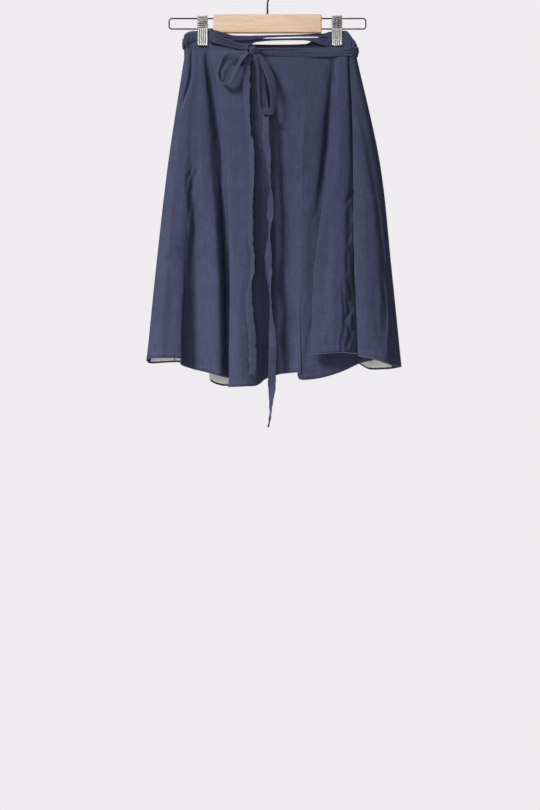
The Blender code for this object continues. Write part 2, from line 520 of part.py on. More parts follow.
# Hanger
add_block("hanger_bar", (-0.5 * BAR_LENGTH, -0.5 * BAR_DEPTH, BAR_TOP - BAR_HEIGHT),
          (0.5 * BAR_LENGTH, 0.5 * BAR_DEPTH, BAR_TOP), BAR_ROUND, beech)
for side, word in ((-1, "left"), (1, "right")):
    start, end = 0.5 * BAR_LENGTH + GAP, WIRE_REACH
    loop = [(side * start, 0, WIRE_UPPER), (side * (end - WIRE_CORNER), 0, WIRE_UPPER)]
    for turn in (22.5, 45, 67.5, 90):
        across, rise = math.sin(math.radians(turn)), math.cos(math.radians(turn))
        loop.append((side * (end - WIRE_CORNER * (1 - across)), 0, WIRE_UPPER - WIRE_CORNER * (1 - rise)))
    for turn in (0, 22.5, 45, 67.5, 90):
        across, rise = math.cos(math.radians(turn)), math.sin(math.radians(turn))
        loop.append((side * (end - WIRE_CORNER * (1 - across)), 0, WIRE_LOWER + WIRE_CORNER * (1 - rise)))
    loop.append((side * start, 0, WIRE_LOWER))
    add_tube("hanger_wire_" + word, loop, 0.5 * WIRE, WIRE_SIDES, dark_wire)
hook = [(0, 0, BAR_TOP + GAP), (0, 0, BAR_TOP + 0.5 * (0.5 * HOOK_WIRE - 2 * HOOK_BEND - BAR_TOP))]
centre = 0.5 * HOOK_WIRE - HOOK_BEND
for k in range(24):
    turn = math.radians(-90 + 15 + k * (HOOK_TIP_TURN + 75) / 23)
    hook.append((HOOK_BEND * math.cos(turn), 0, centre + HOOK_BEND * math.sin(turn)))
add_tube("hanger_hook", hook, 0.5 * HOOK_WIRE, 12, dark_wire)

# Clips
for middle, word in ((CLIP_LEFT, "left"), (CLIP_RIGHT, "right")):
    add_jaw("clip_%s_front" % word, middle, 1, steel)
    add_jaw("clip_%s_back" % word, middle, -1, steel)
    half = 0.5 * CORE_WIDTH
    add_block("clip_%s_core" % word, (middle - half, -5.4, CORE_BOTTOM), (middle + half, 5.4, CORE_TOP),
              1.0, steel)
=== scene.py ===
import math

import bmesh
import bpy
import numpy as np
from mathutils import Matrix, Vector, noise


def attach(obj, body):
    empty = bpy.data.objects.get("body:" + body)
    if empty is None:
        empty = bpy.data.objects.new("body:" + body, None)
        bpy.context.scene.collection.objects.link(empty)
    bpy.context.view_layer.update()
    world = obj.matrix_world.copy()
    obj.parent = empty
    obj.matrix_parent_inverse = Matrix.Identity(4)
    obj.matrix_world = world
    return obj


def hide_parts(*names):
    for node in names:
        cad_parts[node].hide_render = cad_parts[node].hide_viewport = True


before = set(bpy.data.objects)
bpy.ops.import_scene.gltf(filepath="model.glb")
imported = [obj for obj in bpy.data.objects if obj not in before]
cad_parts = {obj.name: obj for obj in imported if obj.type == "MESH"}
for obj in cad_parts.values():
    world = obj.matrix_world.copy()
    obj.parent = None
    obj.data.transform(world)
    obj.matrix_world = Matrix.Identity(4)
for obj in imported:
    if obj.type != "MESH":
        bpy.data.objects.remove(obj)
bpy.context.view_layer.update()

scene = bpy.context.scene
mm = 0.001
waveBands = 3.18  # bands in a metre of a wave texture at a scale of 1


def linear(hexColour):
    parts = [int(hexColour[i:i + 2], 16) / 255 for i in (1, 3, 5)]
    return tuple(c / 12.92 if c <= 0.04045 else ((c + 0.055) / 1.055) ** 2.4 for c in parts) + (1.0,)


def feed(tree, node, inputs):
    # each input takes a value, a socket, or a node's first output
    for name, value in inputs.items():
        if isinstance(value, bpy.types.Node):
            value = value.outputs[0]
        if isinstance(value, bpy.types.NodeSocket):
            tree.links.new(value, node.inputs[name])
        else:
            node.inputs[name].default_value = value


def addNode(tree, kind, settings=(), inputs=()):
    # settings may be just an operation, and inputs a list in the order of the sockets
    node = tree.nodes.new("ShaderNode" + kind)
    for name, value in ({"operation": settings} if isinstance(settings, str) else dict(settings)).items():
        setattr(node, name, value)
    feed(tree, node, dict(enumerate(inputs)) if isinstance(inputs, list) else dict(inputs))
    return node


def weighted(tree, terms, total=0.0):
    # each value times its weight, added up
    for value, weight in terms:
        total = addNode(tree, "Math", "MULTIPLY_ADD", [value, weight, total])
    return total


def newMaterial(name):
    made = bpy.data.materials.new(name)
    made.use_nodes = True
    tree = made.node_tree
    return made, tree, tree.nodes["Principled BSDF"]


# Washed linen: plain weave of slubby yarn, matte, with a faint violet bloom at grazing light, and a painted
# highlight: a pale line along the hem edges where they catch the light.
# Its threads lie 0.7 mm apart. They are drawn at threadMm so that they show.
def linenMaterial(name, deep, lit, stitch, threadMm=1.4, hemHighlight=1.1):
    made, tree, shader = newMaterial(name)
    uv = addNode(tree, "UVMap", {"uv_map": "cloth"})
    weave = [addNode(tree, "TexWave", {"wave_type": "BANDS", "bands_direction": direction},
                     {"Vector": uv, "Scale": 1 / (threadMm * mm) / waveBands, "Distortion": 1.2,
                      "Detail": 2, "Detail Scale": 1.5}).outputs[1] for direction in "XY"]
    threads = addNode(tree, "Math", "MULTIPLY", weave)
    streaks = []
    for wide, long in ((1.3, 26), (34, 1.6)):  # millimetres, for the slubs of the warp and of the weft
        stretch = addNode(tree, "Mapping", (), {"Vector": uv, "Scale": (1 / (wide * mm), 1 / (long * mm), 1)})
        streaks.append(addNode(tree, "TexNoise", (), {"Vector": stretch, "Scale": 1, "Detail": 2}))
    slub = weighted(tree, zip(streaks, (0.64, 0.36)))
    place = addNode(tree, "TexCoord").outputs["Object"]
    cloudy = addNode(tree, "TexNoise", (), {"Vector": place, "Scale": 22, "Detail": 5, "Roughness": 0.62})
    speck = addNode(tree, "TexNoise", (), {"Vector": place, "Scale": 260, "Detail": 3})
    tone = weighted(tree, [(slub, 0.62), (cloudy, 0.38), (speck, 0.35)], -0.5 * 0.35)
    ramp = addNode(tree, "ValToRGB", (), [tone])
    for stop, (position, colour) in zip(ramp.color_ramp.elements, ((0.22, deep), (0.72, lit))):
        stop.position, stop.color = position, linear(colour)
    # the edge map runs along the hem, and is 1 across it where the sewn line lies
    edge = addNode(tree, "SeparateXYZ", (), [addNode(tree, "UVMap", {"uv_map": "edge"})])
    along, fromEdge = edge.outputs[0], edge.outputs[1]
    fromSewn = addNode(tree, "Math", "ABSOLUTE", [addNode(tree, "Math", "SUBTRACT", [fromEdge, 1])])
    near = addNode(tree, "Math", "LESS_THAN", [fromSewn, 0.07])
    stitchMm = 3.4
    dash = addNode(tree, "Math", "FRACT", [addNode(tree, "Math", "MULTIPLY", [along, 1 / (stitchMm * mm)])])
    sewn = addNode(tree, "Math", "MULTIPLY", [near, addNode(tree, "Math", "LESS_THAN", [dash, 0.72])])
    colour = addNode(tree, "Mix", {"data_type": "RGBA"}, {
        0: addNode(tree, "Math", "MULTIPLY", [sewn, 0.2]), 6: ramp, 7: linear(stitch)}).outputs[2]
    # painted highlight along the hem's very edge: lightened towards pale grey-blue, patchy with the cloudy noise,
    # where the edge catches the light; hemHighlight sets how strong
    hemHighlightMask = addNode(tree, "Math", "MULTIPLY", [addNode(tree, "Math", "LESS_THAN", [fromEdge, 0.12]),
                                              addNode(tree, "Math", "MULTIPLY", [cloudy, hemHighlight])])
    colour = addNode(tree, "Mix", {"data_type": "RGBA"}, {0: hemHighlightMask, 6: colour, 7: linear("#9496AA")}).outputs[2]
    height = weighted(tree, [(threads, 0.35), (slub, 0.9), (near, -0.5)])
    bump = addNode(tree, "Bump", (), {"Height": height, "Strength": 0.35, "Distance": 0.6 * mm})
    rough = addNode(tree, "MapRange", (), {0: slub, 3: 0.95, 4: 0.78})
    feed(tree, shader, {"Base Color": colour, "Normal": bump, "Roughness": rough, "Specular IOR Level": 0.25,
                        "Sheen Weight": 0.07, "Sheen Roughness": 0.45, "Sheen Tint": linear("#8E94C4")})
    return made


# Fine printed cotton: pale grey-green ground with small grey sprigs, matte.
def printedMaterial(name):
    made, tree, shader = newMaterial(name)
    uv = addNode(tree, "UVMap", {"uv_map": "cloth"})
    wobble = addNode(tree, "TexNoise", (), {"Vector": uv, "Scale": 90, "Detail": 2}).outputs[1]
    moved = addNode(tree, "VectorMath", "MULTIPLY_ADD", [wobble, (8 * mm, 8 * mm, 0), uv])
    sprigMm, leafMm = 17, 9
    sprig = addNode(tree, "TexVoronoi", {"feature": "F1"}, {"Vector": moved, "Scale": 1 / (sprigMm * mm)})
    leaf = addNode(tree, "TexVoronoi", {"feature": "DISTANCE_TO_EDGE"},
                   {"Vector": moved, "Scale": 1 / (leafMm * mm)})
    spot = addNode(tree, "Math", "LESS_THAN", [sprig, 0.36])
    vein = addNode(tree, "Math", "LESS_THAN", [leaf, 0.07])
    mark = addNode(tree, "Math", "MULTIPLY", [spot, addNode(tree, "Math", "SUBTRACT", [1, vein])])
    patchy = addNode(tree, "TexNoise", (), {"Vector": uv, "Scale": 28, "Detail": 3})
    mark = addNode(tree, "Math", "MULTIPLY", [mark, addNode(tree, "Math", "GREATER_THAN", [patchy, 0.45])])
    colour = addNode(tree, "Mix", {"data_type": "RGBA"},
                     {0: mark, 6: linear("#EFEFE7"), 7: linear("#9C9BA4")}).outputs[2]
    fine = addNode(tree, "TexNoise", (), {"Vector": uv, "Scale": 900, "Detail": 2})
    bump = addNode(tree, "Bump", (), {"Height": fine, "Strength": 0.3, "Distance": 0.3 * mm})
    feed(tree, shader, {"Base Color": colour, "Normal": bump, "Roughness": 0.9, "Sheen Weight": 0.08})
    return made


# Planed and oiled beech: warm pale wood with fine darker flecks along the bar and a soft satin gloss.
def beechMaterial(name):
    made, tree, shader = newMaterial(name)
    place = addNode(tree, "TexCoord").outputs["Object"]
    stretch = addNode(tree, "Mapping", (), {"Vector": place, "Scale": (14, 120, 170)})
    grain = addNode(tree, "TexNoise", (), {"Vector": stretch, "Scale": 1, "Detail": 6,
                                           "Roughness": 0.6, "Distortion": 0.6})
    fleckPlace = addNode(tree, "Mapping", (), {"Vector": place, "Scale": (140, 900, 1100)})
    fleck = addNode(tree, "TexNoise", (), {"Vector": fleckPlace, "Scale": 1, "Detail": 1})
    ramp = addNode(tree, "ValToRGB", (), [grain])
    tones = ((0.30, "#D0AA88"), (0.52, "#E1C1A1"), (0.75, "#EBD0B5"))
    ramp.color_ramp.elements.new(tones[1][0])
    for stop, (position, colour) in zip(ramp.color_ramp.elements, tones):
        stop.position, stop.color = position, linear(colour)
    dark = addNode(tree, "Math", "MULTIPLY", [addNode(tree, "Math", "GREATER_THAN", [fleck, 0.66]), 0.28])
    colour = addNode(tree, "Mix", {"data_type": "RGBA"}, {0: dark, 6: ramp, 7: linear("#B4886A")}).outputs[2]
    bump = addNode(tree, "Bump", (), {"Height": grain, "Strength": 0.25, "Distance": 0.4 * mm})
    rough = addNode(tree, "MapRange", (), {0: grain, 3: 0.48, 4: 0.36})
    feed(tree, shader, {"Base Color": colour, "Normal": bump, "Roughness": rough,
                        "Coat Weight": 0.12, "Coat Roughness": 0.3})
    return made


# Plated steel: bright, with handling smudges that dull it and fine drawn scratches.
def platedMaterial(name, bright, dull, rough):
    made, tree, shader = newMaterial(name)
    place = addNode(tree, "TexCoord").outputs["Object"]
    smudge = addNode(tree, "TexNoise", (), {"Vector": place, "Scale": 90, "Detail": 4})
    ramp = addNode(tree, "ValToRGB", (), [smudge])
    for stop, (position, colour) in zip(ramp.color_ramp.elements, ((0.35, dull), (0.62, bright))):
        stop.position, stop.color = position, linear(colour)
    roughness = addNode(tree, "MapRange", (), [smudge, 0.3, 0.7, rough + 0.1, rough])
    stretch = addNode(tree, "Mapping", (), {"Vector": place, "Scale": (2400, 2400, 120)})
    drawn = addNode(tree, "TexNoise", (), {"Vector": stretch, "Scale": 1, "Detail": 2})
    bump = addNode(tree, "Bump", (), {"Height": drawn, "Strength": 0.05, "Distance": 0.05 * mm})
    feed(tree, shader, {"Base Color": ramp, "Roughness": roughness, "Normal": bump, "Metallic": 1})
    return made


navyLinen = linenMaterial("Washed navy linen", "#32354C", "#4A4D69", "#6A6D8A")
tieLinen = linenMaterial("Navy linen tie", "#303348", "#474A64", "#666986", 1.2, 0.45)
# the same linen darkened as painted shade for the back panel's inner side, which shows in the shade above the waist
# edge
shadeDarkenedLinen = linenMaterial("Navy linen darkened as painted shade inside the waist", "#1E2032", "#2C2E42", "#44465A")
printedCotton = printedMaterial("Pale printed cotton")
oiledBeech = beechMaterial("Oiled beech")
brightSteel = platedMaterial("Bright plated steel", "#E2E1DC", "#C4C3BE", 0.3)
# a dark copy of the plated steel: painted shade for the jaws' pressed grooves
shadedSteel = platedMaterial("Steel darkened as painted shade in the pressed grooves", "#3A3533", "#262221", 0.42)
darkWire = platedMaterial("Dark chrome wire", "#5A5654", "#3C3938", 0.22)
print("materials made")


def curveAt(knots, values, at):
    # smooth through the values at rising knots, never past them
    knots, values, at = np.asarray(knots, float), np.asarray(values, float), np.atleast_1d(at).astype(float)
    steps = np.diff(knots)
    wide = (-1,) + (1,) * (values.ndim - 1)
    rises = np.diff(values, axis=0) / steps.reshape(wide)
    slopes = np.empty_like(values)
    slopes[0], slopes[-1] = rises[0], rises[-1]
    weight = (steps[1:] / (steps[1:] + steps[:-1])).reshape(wide)
    slopes[1:-1] = weight * rises[:-1] + (1 - weight) * rises[1:]
    least = 3 * np.minimum(abs(rises[:-1]), abs(rises[1:]))
    level = rises[:-1] * rises[1:] <= 0
    slopes[1:-1] = np.where(level, 0, np.sign(slopes[1:-1]) * np.minimum(abs(slopes[1:-1]), least))
    i = np.clip(np.searchsorted(knots, at) - 1, 0, len(steps) - 1)
    h = steps[i]
    t = ((at - knots[i]) / h).reshape(wide)
    h = h.reshape(wide)
    return ((2 * t**3 - 3 * t**2 + 1) * values[i] + (t**3 - 2 * t**2 + t) * h * slopes[i]
            + (3 * t**2 - 2 * t**3) * values[i + 1] + (t**3 - t**2) * h * slopes[i + 1])


# heights of the fold table's columns, and of the lip that the waist edge folds over; rows above each
levels = {"waist": -160.0, "hip": -350.0, "mid": -540.0, "lip": -142.0, "lipRows": 8, "waistRows": 5}


def panelSheet(panel):
    # rows of (x, out, z) from the upper edge down, columns from fold to fold
    folds, top = np.array(panel["folds"], float), np.array(panel["top"], float)
    count = len(folds)
    across = np.linspace(0, count - 1, (count - 1) * panel["cuts"] + 1)
    waist = curveAt(range(count), folds[:, [0, 4]], across)
    topZ, topOut = curveAt(top[:, 0], top[:, 1:], np.clip(waist[:, 0], top[0, 0], top[-1, 0])).T
    lipZ = np.minimum(levels["lip"], topZ - 5)
    sheet = []
    for part in np.arange(levels["lipRows"]) / levels["lipRows"]:
        sheet.append(np.stack([waist[:, 0], topOut, topZ + (lipZ - topZ) * part], axis=1))
    for part in np.arange(levels["waistRows"]) / levels["waistRows"]:
        ease = part * part * (3 - 2 * part)
        sheet.append(np.stack([waist[:, 0], topOut + (waist[:, 1] - topOut) * ease,
                               lipZ + (levels["waist"] - lipZ) * part], axis=1))
    hemZ = curveAt(range(count), folds[:, 8], across)
    steps = np.linspace(0, 1, panel["rows"])
    lines = []
    for fold in folds:
        z = levels["waist"] + (fold[8] - levels["waist"]) * steps
        knots = [-levels["waist"], -levels["hip"], -levels["mid"], -fold[8]]
        lines.append(curveAt(knots, np.column_stack([fold[0:4], fold[4:8]]), -z))
    lines = np.array(lines)
    for k, part in enumerate(steps):
        ring = curveAt(range(count), lines[:, k], across)
        sheet.append(np.column_stack([ring, levels["waist"] + (hemZ - levels["waist"]) * part]))
    return np.array(sheet)


def lengthAlong(path):
    return np.concatenate([[0], np.cumsum(np.linalg.norm(np.diff(path, axis=0), axis=1))])


def facing(sheet, side):
    # the way each point of a sheet faces, on the side that is asked for
    along, down = np.gradient(sheet, axis=1), np.gradient(sheet, axis=0)
    normal = np.cross(along, down) * side
    return normal / np.maximum(np.linalg.norm(normal, axis=2, keepdims=True), 1e-9)


def wave(x, y, z):
    return noise.noise(Vector((x, y, z)))


# sizes of the washed-in wrinkles across, down and outward, and how far each kind lifts the cloth
wrinkles = {
    "broad": (46, 95, 60), "crease": (21, 44, 30), "fine": (7.5, 12, 9), "lift": (1.5, 0.75, 0.22),
    "calmAbove": -168, "calmFade": 60, "puckerLift": 0.9, "puckerReach": 13,
    "turnLift": 0.35, "turnMiddle": 4.5, "turnHalf": 3.6,
}


def crumple(sheet, panel):
    # how far each point moves out along its facing: creases from the table, washed-in wrinkles, and hem puckers
    x, z = sheet[:, :, 0], sheet[:, :, 2]
    moved = np.zeros(x.shape)
    for x1, z1, x2, z2, bend, width, depth in panel["creases"]:
        t = (z - z1) / (z2 - z1)
        inside = (t > 0) & (t < 1)
        tt = np.clip(t, 0, 1)
        middle = x1 + (x2 - x1) * tt + bend * np.sin(math.pi * tt) + 1.4 * np.sin(7 * tt + x1)
        shape = np.exp(-((x - middle) / width) ** 2) * np.sin(math.pi * tt) ** 0.7
        moved += np.where(inside, depth * shape, 0)
    calm = np.clip((wrinkles["calmAbove"] - z) / wrinkles["calmFade"], 0, 1)
    seed = panel["seed"]
    (bx, bz, bo), (cx, cz, co), (fx, fz, fo) = wrinkles["broad"], wrinkles["crease"], wrinkles["fine"]
    broadLift, creaseLift, fineLift = wrinkles["lift"]
    rows, columns = x.shape
    small = np.zeros(x.shape)
    for r in range(rows):
        for c in range(columns):
            px, pz, po = x[r, c], z[r, c], sheet[r, c, 1]
            broad = wave(px / bx + seed, pz / bz, po / bo)
            crease = 1 - abs(wave(px / cx + seed, pz / cz + 0.35 * broad, po / co + 3)) * 2.2
            fine = wave(px / fx, pz / fz + seed, po / fo)
            small[r, c] = broadLift * broad + creaseLift * crease * abs(crease) + fineLift * fine
    moved += small * calm * panel["wrinkle"]
    fromHem = np.cumsum(np.linalg.norm(np.diff(sheet, axis=0), axis=2)[::-1], axis=0)[::-1]
    fromHem = np.vstack([fromHem, np.zeros((1, columns))])
    run = lengthAlong(sheet[-1])
    pucker = np.array([wave(s / 8.5, seed, 1.5) + 0.5 * wave(s / 4.1, seed, 8.5) for s in run])
    moved += wrinkles["puckerLift"] * pucker * np.exp(-(fromHem / wrinkles["puckerReach"]) ** 2)
    moved += wrinkles["turnLift"] * np.exp(-((fromHem - wrinkles["turnMiddle"]) / wrinkles["turnHalf"]) ** 4)
    return moved, fromHem


def keepShape(shape, name, materials):
    mesh = bpy.data.meshes.new(name)
    shape.to_mesh(mesh)
    shape.free()
    for used in materials:
        mesh.materials.append(used)
    made = bpy.data.objects.new(name, mesh)
    scene.collection.objects.link(made)
    return made


def gridObject(name, sheet, materials, clothUv, edgeUv):
    # a created grid whose points take the sheet's places, with its two UV maps
    rows, columns = sheet.shape[:2]
    grid = bmesh.new()
    bmesh.ops.create_grid(grid, x_segments=columns - 1, y_segments=rows - 1, size=1.0)
    clothLayer, edgeLayer = grid.loops.layers.uv.new("cloth"), grid.loops.layers.uv.new("edge")
    placeOf = {}
    for vert in grid.verts:
        c = round((vert.co.x * 0.5 + 0.5) * (columns - 1))
        r = round((0.5 - vert.co.y * 0.5) * (rows - 1))
        placeOf[vert.index] = (r, c)
    for face in grid.faces:
        face.smooth = True
        for loop in face.loops:
            r, c = placeOf[loop.vert.index]
            loop[clothLayer].uv = clothUv[r, c]
            loop[edgeLayer].uv = edgeUv[r, c]
    for vert in grid.verts:
        x, out, z = sheet[placeOf[vert.index]]
        vert.co = (x * mm, -out * mm, z * mm)
    return keepShape(grid, name, materials)


def turnOut(made, toward):
    # faces point to the side named by toward, a direction that most of the piece should face
    mesh = made.data
    total = Vector()
    for face in mesh.polygons:
        total += face.normal * face.area
    if total.dot(Vector(toward)) < 0:
        mesh.flip_normals()


def giveWall(made, thick, inside=0):
    # the wall grows inward; inside is how many slots on its inner side's material lies
    wall = made.modifiers.new("Cloth wall", "SOLIDIFY")
    wall.thickness = thick * mm
    wall.offset = -1
    wall.use_even_offset = False
    wall.material_offset = inside
    wall.use_rim = True


def settle(made, replaced):
    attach(made, "root")
    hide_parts(replaced)
    print(made.name, "area", round(sum(face.area for face in made.data.polygons), 5))


def clothUvOf(sheet):
    # the weave's map, in metres along the middle row and down the sheet
    middle = len(sheet) // 2
    across = lengthAlong(sheet[middle])
    down = np.concatenate([[0], np.cumsum(np.linalg.norm(np.diff(sheet, axis=0), axis=2).mean(axis=1))])
    return np.stack(np.broadcast_arrays(across[None, :] * mm, -down[:, None] * mm), axis=2)


def seamShare(sheet, fromHem, panel):
    # the edge map: along the hem, and distance from it with the sewn line at 1
    run = lengthAlong(sheet[-1]) * mm
    return np.stack(np.broadcast_arrays(run[None, :], fromHem / panel["hemDepth"]), axis=2)


# columns: waistX hipX midX hemX waistOut hipOut midOut hemOut hemZ, a row for each fold line
underFront = {
    "cuts": 10, "rows": 128, "seed": 3.1, "wrinkle": 0.75, "hemDepth": 9, "wall": 0.6, "turnIn": 7,
    # columns: from x, to x, below z, where the cloth is navy on its inside too
    "navyInside": [(30, 66, -560), (-124, -40, -140)],
    "folds": [
        (-150, -179, -201, -218, 0, 0, 0, -4, -706), (-147, -175, -196, -213, 4, 13, 21, 25, -702),
        (-140, -163, -177, -187, 6, 23, 35, 43, -701), (-133, -149, -154, -153, 6, 24, 33, 41, -702),
        (-128, -139, -143, -156, 6, 22, 26, 27, -711), (-124, -128, -129, -138, 6, 20, 16, 11, -719),
        (-118, -115, -110, -106, 8, 22, 27, 31, -727), (-113, -103, -90, -86, 8, 21, 33, 39, -733),
        (-107, -87, -72, -65, 5, 10, 15, 17, -737), (-104, -80, -58, -50, 5, 10, 12, 12, -740),
        (-102, -77, -61, -57, 6, 19, 34, 40, -749), (-98, -76, -68, -68, 8, 25, 44, 56, -753),
        (-80, -58, -47, -43, 12, 29, 50, 64, -752), (-49, -29, -22, -19, 13, 29, 45, 56, -750),
        (-17, -3, 0, -4, 12, 24, 31, 38, -739), (8, 19, 18, 16, 11, 17, 19, 22, -731),
        (33, 40, 38, 36, 11, 19, 22, 27, -728), (58, 58, 57, 60, 10, 21, 27, 36, -726),
        (67, 64, 61, 54, 10, 21.4, 27.6, 32.6, -733), (74, 69, 67, 63, 9, 21, 28, 34, -740),
        (94, 90, 87, 97, 7, 18, 25, 32, -736), (112, 112, 116, 133, 6, 11, 17, 24, -725),
        (130, 139, 152, 166, 5, 9, 13, 18, -710), (141, 155, 173, 191, 4, 7, 10, 12, -704),
    ],
    # columns: x z out of the upper edge
    "top": [
        (-152, -121, 0.8), (-147, -116, 1.6), (-141, -113, 2), (-129, -111.5, 2.2), (-107.2, -112, 2.2),
        (-105, -126, 2.4), (-101, -136, 3.6), (-92, -139, 6.2), (-76, -140, 9), (-31, -142.5, 11.6),
        (0, -144, 11.4), (58, -144, 9.8), (100, -143, 6.6), (108, -138, 3.6), (114, -113, 1.8),
        (136, -112, 1.8), (142, -112, 1.8),
    ],
    # columns: x1 z1 x2 z2 bend width depth
    "creases": [
        (-139, -335, -143, -470, 4, 4.5, -2.4), (-124, -352, -133, -452, -5, 4, -2),
        (-150, -395, -139, -480, 3, 4, 1.8), (-131, -420, -143, -590, 3, 5, -1.6),
        (-186, -430, -196, -640, -4, 9, 1.4), (-172, -520, -178, -690, 3, 7, -1.2),
        (-98, -420, -96, -700, 5, 9, 1.8), (-112, -600, -118, -720, 2, 5, -1.5),
        (-62, -330, -48, -600, 6, 12, -1.8), (-50, -560, -46, -745, -2, 6, 1.6),
        (24, -250, 33, -420, 4, 9, 1.4), (36, -520, 34, -725, 2, 5, 1.5), (62, -200, 76, -430, 5, 12, -0.8),
        (74, -230, 70, -380, -4, 10, 1), (79, -440, 72, -640, 3, 7, -1), (-30, -640, -26, -745, 2, 4, -1.3),
        (-109, -146, -98, -236, -3, 5, -4), (-105, -176, -79, -388, 3, 5.5, -7),
        (-84, -325, -71, -745, 3, 3.6, -5), (-134, -140, -158, -262, 5, 2.6, -4.8),
        (-130, -150, -126, -206, 2, 6, 1.2), (122, -146, 88, -452, 5, 7.5, -7),
        (13, -190, 17, -735, 3, 10, -4.6), (-151, -388, -137, -402, 1, 3, -2),
        (-142, -352, -131, -372, 1, 3, 1.8), (-136, -366, -146, -394, -1, 3, -2),
        (88, -600, 70, -716, -3, 5, -1.8), (64, -668, 100, -690, 2, 4, -1.4),
    ],
}
overFront = {
    "cuts": 14, "rows": 128, "seed": 7.7, "wrinkle": 0.7, "hemDepth": 12, "wall": 0.6, "turnIn": 7,
    "navyInside": [(138, 178, -140)],
    "folds": [
        (117, 108, 83, 77, 9, 27, 39, 44, -695), (124, 115, 96, 91, 10, 28, 41, 47, -694),
        (133, 127, 115, 113, 11, 29, 43, 49, -693), (139, 140, 135, 134, 11, 28, 42, 48, -692),
        (143, 148, 147, 151, 10, 24, 34, 34, -693), (146.4, 157, 166, 173, 6, 13, 16, 19.4, -694),
        (148.6, 153, 155, 162, 11, 22, 33, 39, -697), (152, 165, 172, 184, 10, 25, 37, 45, -702),
        (155, 178, 192, 206, 9, 24, 35, 43, -709), (158, 191, 208, 221, 6, 17, 25, 32, -714),
        (160, 200, 221, 238, 3, 5, 9, 10, -716), (161, 203, 224, 242, -1, -5, -7, -9, -716),
    ],
    "top": [
        (116, -113, 3.6), (137, -111.5, 3.6), (143, -112.5, 4.2), (148, -118, 5), (153, -125, 5.4),
        (158, -131, 4), (160, -135, 2.2), (163, -141, -1),
    ],
    "creases": [
        (150, -395, 137, -432, 3, 4, -2.4), (140, -415, 146, -560, 4, 5, -2.6),
        (152, -430, 149, -600, -3, 4, 2), (136, -560, 135, -690, 1, 3.6, -2.8),
        (145, -600, 147, -692, 2, 3, 1.8), (128, -240, 118, -420, 5, 9, 1.5), (108, -430, 97, -640, 4, 8, -1.6),
        (121, -500, 118, -680, -3, 6, 1.4), (206, -560, 222, -712, 4, 6, -2.8),
        (160, -225, 215, -620, 12, 7.5, -3.6), (176, -300, 184, -560, 4, 9, -0.9),
        (170, -460, 178, -690, 3, 7, 0.9), (166, -200, 180, -330, 3, 6, 1.2),
        (190, -560, 198, -705, 2, 5, -1.5), (120, -146, 121, -216, 0, 3.4, -3.4),
        (196, -392, 213, -560, 5, 2.2, 3.2), (212, -540, 214, -700, 1, 2.2, 3.2),
        (143, -116, 156, -146, 1, 1.8, -2), (150, -120, 159, -140, -1, 1.6, -1.6),
        (201, -590, 206, -700, 2, 6, -1.6), (138, -590, 150, -622, 1, 3.2, -3.2),
        (150, -606, 139, -640, -1, 3.2, -3.4), (137, -636, 151, -664, 1, 3, -3.4),
        (150, -650, 140, -688, -1, 3.2, -3.6), (143, -560, 152, -600, 1, 3, -2.8),
        (147, -500, 141, -552, -1, 3.4, -2.6), (144, -420, 150, -470, 1, 3.4, -2.8),
        (150, -455, 143, -505, 1, 3.2, -2.4), (127, -650, 126, -694, 1, 2.4, 1.6),
        (112, -668, 84, -690, 1, 3, -1.3),
    ],
}
backPanel = {
    "cuts": 12, "rows": 110, "seed": 12.4, "wrinkle": 0.8, "hemDepth": 9, "wall": 1, "turnIn": 0,
    "folds": [
        (-150, -179, -201, -218, 0, 0, 0, -4, -706), (-147, -175, -195, -211, -5, -18, -28, -38, -709),
        (-131, -146, -159, -167, -8, -30, -48, -60, -706.4), (-113, -118, -124, -127, -8, -24, -36, -44, -713),
        (-103, -105, -106, -106, -9, -30, -50, -66, -727), (-97, -99, -101, -102, -8, -24, -38, -46, -742),
        (-71, -72, -76, -74, -9, -28, -44, -54, -750), (-39, -35, -36, -32, -11, -36, -62, -78, -739),
        (4, 8, 12, 15, -11, -32, -52, -62, -722), (48, 55, 60, 63, -12, -40, -68, -86, -713),
        (88, 95, 103, 111, -10, -32, -50, -60, -707), (120, 132, 144, 155, -9, -36, -60, -76, -705),
        (142, 164, 180, 191, -8, -28, -44, -54, -720), (156, 191, 208, 223, -6, -20, -32, -38, -719),
        (161, 203, 224, 242, -1, -5, -7, -9, -716),
    ],
    "top": [
        (-152, -121, -0.8), (-147, -116, -1.6), (-141, -113, -2.4), (-129, -111.5, -3.6), (-106, -111.5, -3.6),
        (-96, -116, -5), (-80, -123, -7), (-63, -129, -9), (-31, -133, -10.6), (10, -134, -11),
        (68, -133, -10.4), (83, -126.5, -8.4), (97, -119, -5.2), (104, -115, -3.7), (112, -112, -3.6),
        (138, -111.5, -3.6), (144, -113, -4), (153, -125, -4), (158, -131, -3), (160, -135, -2.2),
        (163, -141, -1),
    ],
    "creases": [
        (-140, -240, -158, -520, 6, 10, 2.4), (-120, -300, -128, -640, -5, 9, -2.4),
        (-86, -260, -92, -560, 5, 10, 2), (-60, -420, -66, -730, 4, 8, -2.2), (-40, -230, -30, -500, -6, 12, 2),
        (-12, -360, -8, -710, 5, 8, -2), (18, -300, 30, -560, 4, 10, 2.2), (44, -480, 46, -705, -3, 7, 1.8),
        (70, -240, 82, -480, 5, 9, -2), (96, -420, 104, -690, 3, 8, 2), (124, -260, 140, -520, -5, 9, -2.2),
        (150, -440, 164, -700, 4, 8, 2.2), (176, -340, 196, -640, 5, 8, -2),
        (-176, -460, -190, -690, 3, 7, 1.8),
    ],
}


